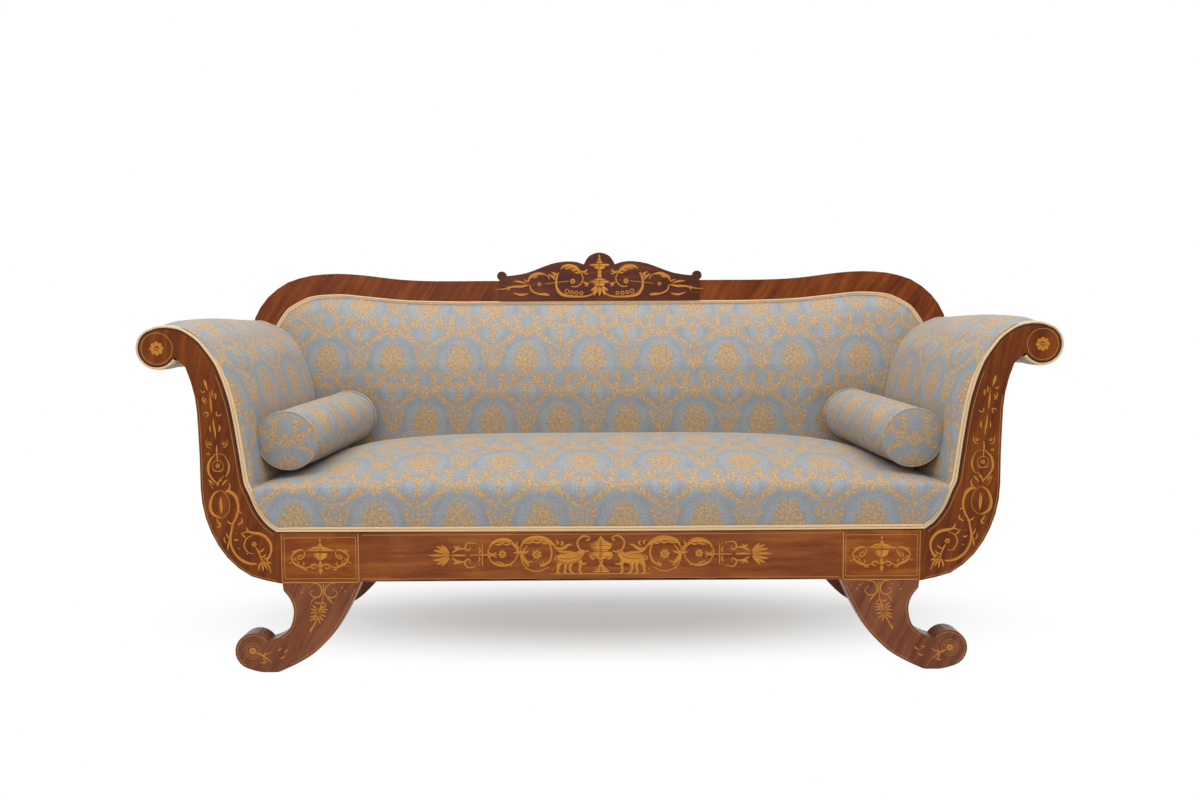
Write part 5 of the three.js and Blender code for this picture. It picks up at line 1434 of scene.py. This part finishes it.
# Front leg, up from the floor
legShapes = [
    [(715, 222, 0.5), (704, 224, 1.2), (694, 216, 1.7), (692, 201, 1.7), (699, 191, 1.7), (711, 190, 1.5),
     (719, 197, 1.2), (718, 205, 1), (710, 205, 0.7)],
    [(656, 223, 0.5), (670, 223, 1), (681, 214, 1.5), (684, 199, 1.7), (676, 189, 1.7), (662, 189, 1.5),
     (654, 198, 1), (656, 205, 0.7), (663, 205, 0.5)],
    [(687, 221, 1.5), (688, 207, 1), (689, 186, 1), (692, 173, 1.5), (697, 160, 2), (701, 148, 1)],
    [(706, 188, 0.5), (716, 181, 1.2), (720, 170, 0.5)], [(709, 178, 0.7), (702, 173, 2), (694, 176, 1)],
    [(678, 187, 0.5), (671, 181, 2), (665, 172, 0.5)], [(690, 178, 0.5), (685, 173, 1.5), (681, 171, 0.5)],
    [(702, 159, 0.5), (710, 165, 2), (716, 169, 0.7)], [(703, 156, 0.5), (712, 158, 2), (720, 160, 0.7)],
    [(703, 152, 0.5), (713, 151, 2), (721, 150, 0.7)], [(704, 148, 0.5), (713, 142, 2), (722, 139, 0.7)],
    [(704, 144, 0.5), (713, 135, 2.2), (723, 130, 1)],
    [(703, 142, 0.5), (708, 130, 1.7), (715, 117, 1.5), (722, 106, 2.7), (724, 103, 0.5)],
    [(701, 141, 0.5), (701, 132, 2), (696, 122, 0.7)], [(699, 143, 0.5), (694, 135, 2), (688, 130, 0.7)],
    [(698, 146, 0.5), (690, 143, 2), (682, 140, 0.7)], [(697, 150, 0.5), (688, 152, 2), (680, 150, 0.7)],
    [(697, 154, 0.5), (688, 158, 2), (677, 158, 0.7)], [(697, 158, 0.5), (689, 164, 2), (680, 167, 0.7)],
    [(859, 50, 0.7), (850, 46, 2), (839, 40, 2), (829, 32, 1.5), (820, 25, 0.5)],
    [(842, 42, 0.5), (834, 45, 1.5), (820, 53, 0.5)], [(840, 39, 0.5), (839, 32, 1.7), (837, 27, 0.5)],
    [(847, 25, 0.5), (840, 24, 2), (831, 26, 0.5)], [(836, 52, 0.3), (838, 47, 1.2), (841, 42, 0.5)],
    [(805, 56, 0.5), (800, 57, 2), (796, 61, 0.5)], [(789, 50, 0.5), (783, 53, 1.7), (779, 58, 0.5)],
    [(801, 36, 0.5), (794, 36, 1.7), (786, 41, 0.5)],
]
legRosettes = [(866.6, 54.2, 9, 8)]
legDots = [
    (735.9, 210.7, 1.7), (741.1, 202.7, 2.4), (720.6, 215.7, 1.5), (640.8, 214, 2.2), (633.5, 203.7, 2),
    (662, 210, 1.8),
]
# The leg's two edges: across from its inner corner, and up from the floor, as shares of its size
legInnerShares = [
    (0, 1), (0.038, 0.879), (0.083, 0.75), (0.146, 0.585), (0.217, 0.433), (0.300, 0.308), (0.382, 0.205),
    (0.490, 0.112), (0.596, 0.040),
]
legOuterShares = [
    (0.666, 0.384), (0.602, 0.438), (0.561, 0.5), (0.535, 0.603), (0.529, 0.714), (0.554, 0.826),
    (0.605, 0.920),
]
# Cartouche, up from the floor
crestHalf = [
    [(8, 963, 1.6), (11, 951, 4.4), (17, 937, 0.9)], [(9, 966, 1.4), (18, 957, 3.4), (26, 952, 0.9)],
    [(116, 1016, 0.9), (106, 1024, 3.4), (89, 1026, 4.6), (73, 1021, 5.4), (62, 1012, 4), (55, 1004, 1.4)],
    [(104, 1018, 0.6), (94, 1018, 2.2), (84, 1020, 1.6)],
    [(86, 1016, 0.6), (77, 1012, 2.4), (70, 1014, 1.6)],
    [(74, 1008, 0.6), (66, 1004, 2.2), (60, 1007, 1.4)],
    [(55, 1009, 1.4), (45, 1007, 3.4), (36, 1014, 1.6)], [(44, 1003, 0.9), (39, 1001, 2), (34, 1003, 0.9)],
    [(144, 1007, 0.9), (132, 1003, 2.2), (126, 996, 2.6), (129, 980, 3), (127, 960, 3.8), (114, 942, 4.6),
     (90, 935.5, 3.4), (62, 934, 2.6), (37, 935.5, 2.2), (20, 943, 1.8), (14, 957, 1.4)],
    [(152, 1002, 0.9), (142, 995, 3), (133, 985, 1.4)],
    [(139, 1008, 0.9), (135, 999, 2.4), (132, 990, 0.9)],
    [(125, 998, 1.4), (121, 1003, 1.6), (124, 1006, 0.9)],
    [(55, 1004, 1.4), (49, 990, 1.6), (54, 974, 1.6), (68, 964, 1.6), (84, 965, 1.2)],
    [(48, 978, 0.9), (40, 973, 3.2), (31, 973, 1.8)], [(44, 967, 0.9), (38, 968, 2), (34, 964, 0.9)],
    [(91, 980, 0.7), (126, 977, 0.9), (162, 972, 0.7)],
    [(212, 979, 1.4), (206, 992, 3.6), (192, 1000, 4.6), (177, 1003, 3.6), (161, 1000, 1.2)],
    [(200, 990, 0.6), (192, 992, 2), (184, 996, 1.4)],
    [(208, 969, 1.4), (201, 952, 2.2), (183, 943, 2.2), (162, 941, 3.8), (149, 939, 1.6)],
    [(162, 1000, 0.8), (152, 994, 1.6), (149, 985, 0.8)],
    [(314, 956, 0.4), (285, 958, 1.6), (258, 964, 2.8), (231, 965, 3.4), (211, 969, 1.4)],
    [(255, 980, 0.8), (237, 979, 2.8), (218, 974, 1.3)],
    [(257, 946, 0.8), (235, 940, 3.2), (213, 943, 1.3)], [(226, 985, 0.8), (219, 982, 2), (212, 978, 0.8)],
    [(274, 966, 0.8), (269, 959, 2), (274, 953, 0.8)],
]
crestMiddle = [
    [(0, 1059, 0.4), (0, 1053, 3.2), (0, 1049.4, 1.6)], [(0, 1048, 2.6), (0, 1043, 5), (0, 1040, 3.4)],
    [(0, 1038.6, 6), (0, 1036, 11), (0, 1033, 5)], [(0, 1031, 27), (0, 1028, 29), (0, 1025.4, 28)],
    [(0, 1024, 18), (0, 1019, 15), (0, 1014.6, 6)],
    [(0, 1013, 3.4), (0, 1007, 6), (0, 1001, 4), (0, 996, 7), (0, 991, 4.4)],
    [(0, 989, 5), (0, 984.6, 15), (0, 981.6, 25)], [(0, 980, 27), (0, 975.4, 28)],
    [(0, 974, 18), (0, 969, 15), (0, 965.4, 7)], [(0, 963, 2.2), (0, 951, 5.6), (0, 936, 0.8)],
]
crestRings = [(97.2, 950, 5.6), (82.7, 946.4, 4.6), (68.6, 945, 4.6), (53.6, 944.4, 4.2)]
crestRosettes = [(79.3, 980, 8, 7), (178.7, 971.5, 6, 6)]


def lineStroke(points, halfWidth):
    return [(x, z, halfWidth) for x, z in points]


def discStroke(x, z, radius):
    at = np.linspace(-0.98, 0.98, 9)
    return [(x + radius * a, z, radius * np.sqrt(1 - a * a)) for a in at]


def ringStroke(x, z, radius, halfWidth, turn=360):
    return lineStroke(arcLine((x, z), radius, 0, turn, 19), halfWidth)


def rosetteStrokes(x, z, radius, petals):
    # Petals round a small disc, each widest two thirds of the way out
    strokes = [discStroke(x, z, radius * 0.2)]
    for a in np.arange(petals) * 2 * np.pi / petals:
        strokes.append([(x + radius * r * np.cos(a), z + radius * r * np.sin(a), radius * w)
                        for r, w in ((0.3, 0.1), (0.5, 0.24), (0.75, 0.3), (0.94, 0.2), (1, 0.05))])
    return strokes


def mirrored(strokes):
    return strokes + [[(-x, z, w) for x, z, w in stroke] for stroke in strokes]


def raised(strokes, dx, dz):
    return [[(x + dx, z + dz, w) for x, z, w in stroke] for stroke in strokes]


def inlayPiece(name, strokes, planeOf, material):
    # Each shape is a thin plate: a smooth curve through its points, with its edges a half width to
    # either side along the curve's normals, its face proud of the panel and its back below it
    points, faces, cloth, start = [], [], [], 0
    for number, stroke in enumerate(strokes):
        length = np.abs(np.diff(np.array(stroke)[:, :2], axis=0)).sum()
        line = smoothLine(stroke, int(np.clip(length / 1.6, 6, 90)) if len(stroke) > 2 else 3)
        normal = leftNormals(line[:, :2])
        width = np.maximum(line[:, 2:], 0.12)
        left, right = line[:, :2] + normal * width, line[:, :2] - normal * width
        rim = np.stack([left, right, right, left], axis=1)
        rise = inlay["proud"] + 0.012 * (number % 11)  # no two plates that cross lie in one plane
        depth = planeOf(rim[..., 1]) + np.array([-rise] * 2 + [inlay["sunk"] + rise] * 2)
        points.append(np.stack([rim[..., 0], depth, rim[..., 1]], axis=2).reshape(-1, 3))
        quads, corners = gridFaces(len(line), 4, wrapColumns=True)
        end = 4 * (len(line) - 1)
        caps = np.array([[0, 3, 2, 1], [end, end + 1, end + 2, end + 3]])
        quads = quads[:, ::-1]
        faces.append(np.vstack([quads, caps]) + start)
        along = runAlong(line[:, :2])
        u = np.stack([along[a] for a, b in corners], axis=1)[:, ::-1] * mm + number * 0.137
        v = np.stack([np.array([0.0, 1.0, 1.0, 0.0, 0.0])[b] for a, b in corners], axis=1)[:, ::-1]
        cloth.append(np.vstack([np.stack([u, v], axis=2).reshape(-1, 2), np.full((8, 2), 0.5)]))
        start += 4 * len(line)
    piece = addMesh(name, np.vstack(points), np.vstack(faces).tolist(), material, "sofa", np.vstack(cloth),
                    smooth=False)
    return piece


def inlayMaterial(name, light, mid, shade):
    # Boxwood and satinwood cut thin: pale fibres along each leaf, browned in hot sand towards one edge,
    # with an engraved vein down the middle
    material, tree, shader = newMaterial(name, 0.36, Coat_Weight=0.06, Coat_Roughness=0.15,
                                         Specular_IOR_Level=0.25)
    uv = addNode(tree, "UVMap", uv_map="clothMap").outputs[0]
    fibres = addNode(tree, "Mapping", {"Vector": uv, "Scale": (220.0, 3.0, 1.0)}).outputs[0]
    grain = noise(tree, fibres, 1.0, 3.0, noise_dimensions="2D")
    across = addNode(tree, "SeparateXYZ", {0: uv}).outputs["Y"]
    burnt = mapRange(tree, across, 0.62, 1.0, 0.0, 0.75)
    off = maths(tree, "SUBTRACT", across, 0.5)
    off = maths(tree, "ABSOLUTE", off)
    vein = mapRange(tree, off, 0.05, 0.1, 0.55, 0.0)
    dark = maths(tree, "MAXIMUM", burnt, vein)
    wood = mixColours(tree, grain, hexColour(mid), hexColour(light))
    colour = mixColours(tree, dark, wood, hexColour(shade))
    tree.links.new(colour, shader.inputs["Base Color"])
    return material


boxwood = inlayMaterial("boxwood_inlay", "#E39B38", "#CB812A", "#84430F")
boxwoodLine = inlayMaterial("boxwood_stringing", "#D9A05A", "#C58C48", "#A87238")
rosewood = inlayMaterial("rosewood_band", "#3A1A12", "#2C120D", "#220D09")


def flatPlane(z):
    return 0 * z


def crestPlane(z):
    return leaning(z, -3.0)


def discsOf(dots):
    return [discStroke(*dot) for dot in dots]


def rosettesOf(flowers):
    return [stroke for flower in flowers for stroke in rosetteStrokes(*flower)]


def makeMarquetry():
    line, fine = inlay["lineHalfWidth"], inlay["fineHalfWidth"]
    railShapes = mirrored(railHalf + rosettesOf(railRosettes) + discsOf(railDots)) + railMiddle
    inlayPiece("front_rail_marquetry", raised(railShapes, 0, inlay["panelMiddle"]), flatPlane, boxwood)
    half = inlay["railHalf"]
    railLines = [lineStroke([(-half, z), (0, z), (half, z)], line) for z in inlay["railLines"]]
    inlayPiece("front_rail_stringing", railLines, flatPlane, boxwoodLine)
    rings = [ringStroke(x, z, radius, 1.3) for x, z, radius in crestRings]
    crestShapes = mirrored(crestHalf + rosettesOf(crestRosettes) + rings)
    inlayPiece("cartouche_marquetry", crestShapes + crestMiddle, crestPlane, boxwood)
    inlayPiece("cartouche_knob_rings", mirrored([ringStroke(291, 996, 7.4, 1.2)]), crestPlane, rosewood)
    blockShapes = mirrored(blockHalf) + blockMiddle
    half, top, foot = inlay["blockBorder"]
    border = [lineStroke([(-half, z), (0, z), (half, z)], line) for z in (top, foot)]
    border += [lineStroke([(x, top), (x, 0), (x, foot)], line) for x in (-half, half)]
    edges = [lineStroke([(-94.6, 55), (-94.6, 0), (-94.6, -64)], 1.1),
             lineStroke([(94.8, 55), (94.8, 0), (94.8, -64)], 0.7),
             lineStroke([(-93, -65.6), (0, -65.6), (93, -65.6)], 1.2)]
    spineFacing = armSpine[armSpine[:, 1] > sofa["railTop"] + 2]
    normal = leftNormals(spineFacing)
    band = spineFacing - normal * (inlay["bandHalfWidth"] + 0.6)
    light = spineFacing[:150] - normal[:150] * inlay["armInnerInset"]
    light = light[light[:, 1] < 745]
    shown = (armOuter[:, 1] > 226) & (armOuter[:, 1] < 700)
    outer = (armOuter + leftNormals(armOuter) * inlay["armOuterInset"])[shown]
    legLeft = sofa["baseHalfLength"] - sofa["blockWidth"]
    inside = smoothLine(placed(legInnerShares, legLeft, inlay["legReach"], 0, sofa["legHeight"]), 120)
    outside = smoothLine(placed(legOuterShares, legLeft, inlay["legReach"], 0, sofa["legHeight"]), 60)
    inside = (inside + leftNormals(inside) * inlay["legInset"])[6:-4]
    outside = (outside + leftNormals(outside) * inlay["legInset"])[4:-3]
    scrollAcross, scrollUp = inlay["scrollMiddle"]
    scroll = arcLine((legLeft + scrollAcross, scrollUp), inlay["scrollLine"], -64, 140, 25)
    middle, blockMiddleX, flower = scrollMiddle, legLeft + sofa["blockWidth"] / 2, legRosettes[0][:2]
    for side in (1, -1):
        word = sideWord(side)

        def turned(strokes):
            return [[(side * x, z, w) for x, z, w in stroke] for stroke in strokes]

        inlayPiece("leg_block_marquetry_" + word,
                   turned(raised(blockShapes, blockMiddleX, inlay["panelMiddle"])), flatPlane, boxwood)
        inlayPiece("leg_block_stringing_" + word,
                   turned(raised(border + edges, blockMiddleX, inlay["panelMiddle"] - 2)), flatPlane,
                   boxwoodLine)
        shapes = facingShapes + rosettesOf(facingRosettes + [(*middle, 17, 8)]) + discsOf(facingDots)
        shapes += [ringStroke(939.4, 518.6, 13.5, 0.7), ringStroke(958, 572, 5.4, 0.6, 220),
                   ringStroke(923, 572, 5.4, 0.6, 220)]
        inlayPiece("arm_facing_marquetry_" + word, turned(shapes), flatPlane, boxwood)
        lines = [ringStroke(*middle, 38, 0.6), lineStroke(light[::6], fine), lineStroke(outer[::6], fine)]
        inlayPiece("arm_facing_stringing_" + word, turned(lines), flatPlane, boxwoodLine)
        bands = [lineStroke(band[::4], inlay["bandHalfWidth"]), ringStroke(*middle, 5.4, 0.9)]
        inlayPiece("arm_facing_band_" + word, turned(bands), flatPlane, rosewood)
        shapes = legShapes + rosettesOf(legRosettes) + discsOf(legDots)
        inlayPiece("leg_marquetry_" + word, turned(shapes), flatPlane, boxwood)
        lines = [lineStroke(edge, fine) for edge in (inside[::4], outside[::4], scroll)]
        lines += [ringStroke(*flower, radius, 0.4) for radius in (14, 20)]
        inlayPiece("leg_stringing_" + word, turned(lines), flatPlane, boxwoodLine)


makeMarquetry()
print("marquetry made")


# Room
studio = {
    "worldStrength": 0.35,
    "keyPower": 110.0,
    "fillPower": 15.0,
    "floorTone": "#F4F3F3",
    "floorLift": 0.14,  # light that the sweep adds of its own under the sofa
    "lens": 35.0,  # mm
    "cameraAway": 2.843,  # metres before the front rail
    "cameraUp": 0.9,
    "cameraDown": 4.51,  # degrees
    "cameraRoll": -0.3,
}


def makeWorld():
    world = bpy.data.worlds.new("studio")
    bpy.context.scene.world = world
    world.use_nodes = True
    tree = world.node_tree
    tree.nodes.clear()
    seen = seenDirectly(tree)
    soft = addNode(tree, "Background", {"Color": (1, 1, 1, 1), "Strength": studio["worldStrength"]})
    white = addNode(tree, "Background", {"Color": (1, 1, 1, 1), "Strength": 1.0})
    mixed = addNode(tree, "MixShader", {0: seen, 1: soft.outputs[0], 2: white.outputs[0]})
    addNode(tree, "OutputWorld", {0: mixed.outputs[0]})


def makeFloor():
    mesh = bpy.data.meshes.new("floor")
    mesh.from_pydata([(-30, -30, 0), (30, -30, 0), (30, 30, 0), (-30, 30, 0)], [], [(0, 1, 2, 3)])
    floor = bpy.data.objects.new("floor", mesh)
    bpy.context.scene.collection.objects.link(floor)
    material = bpy.data.materials.new("white_sweep")
    material.use_nodes = True
    tree = material.node_tree
    tree.nodes.clear()
    place = addNode(tree, "TexCoord").outputs["Object"]
    place = vectorMaths(tree, "MULTIPLY_ADD", place, (0.4, 1.0, 1.0), (0.0, -0.2, 0.0))
    away = vectorMaths(tree, "LENGTH", place, output="Value")
    fade = mapRange(tree, away, 0.1, 0.56, 0.29, 1.0, interpolation_type="SMOOTHSTEP")
    seen = seenDirectly(tree)
    matt = addNode(tree, "BsdfDiffuse", {"Color": hexColour(studio["floorTone"])}).outputs[0]
    lift = addNode(tree, "Emission", {"Color": (1, 1, 1, 1), "Strength": studio["floorLift"]}).outputs[0]
    lifted = addNode(tree, "AddShader", {0: matt, 1: lift}).outputs[0]
    white = addNode(tree, "Emission", {"Color": (1, 1, 1, 1), "Strength": 1.0}).outputs[0]
    far = addNode(tree, "MixShader", {0: fade, 1: lifted, 2: white}).outputs[0]
    shown = addNode(tree, "MixShader", {0: seen, 1: matt, 2: far}).outputs[0]
    addNode(tree, "OutputMaterial", {0: shown})
    mesh.materials.append(material)


def makeLamp(name, place, target, size, power):
    data = bpy.data.lights.new(name, "AREA")
    data.shape, data.size, data.size_y, data.energy = "RECTANGLE", size[0], size[1], power
    lamp = bpy.data.objects.new(name, data)
    bpy.context.scene.collection.objects.link(lamp)
    way = Matrix.Translation(place).to_translation() - Matrix.Translation(target).to_translation()
    lamp.rotation_mode = "QUATERNION"
    lamp.rotation_quaternion = way.to_track_quat("Z", "Y")
    lamp.location = place


def makeCamera():
    # Where the photograph was taken from, as fitted to the sofa's edges
    data = bpy.data.cameras.new("camera")
    data.lens, data.sensor_width = studio["lens"], 36.0
    data.clip_start, data.clip_end = 0.05, 100
    camera = bpy.data.objects.new("camera", data)
    bpy.context.scene.collection.objects.link(camera)
    place = Matrix.Translation((0, frontY - studio["cameraAway"], studio["cameraUp"]))
    camera.matrix_world = (place @ Matrix.Rotation(radians(90 - studio["cameraDown"]), 4, "X")
                           @ Matrix.Rotation(radians(studio["cameraRoll"]), 4, "Z"))
    bpy.context.scene.camera = camera


makeWorld()
makeFloor()
makeLamp("key_softbox", (0, -0.75, 3.4), (0, 0, 0.5), (5.6, 2.4), studio["keyPower"])
makeLamp("fill_softbox", (-0.8, -3.4, 1.9), (0, 0, 0.5), (2.4, 2.0), studio["fillPower"])
makeCamera()
bpy.context.scene.view_settings.view_transform = "Standard"
print("room made")
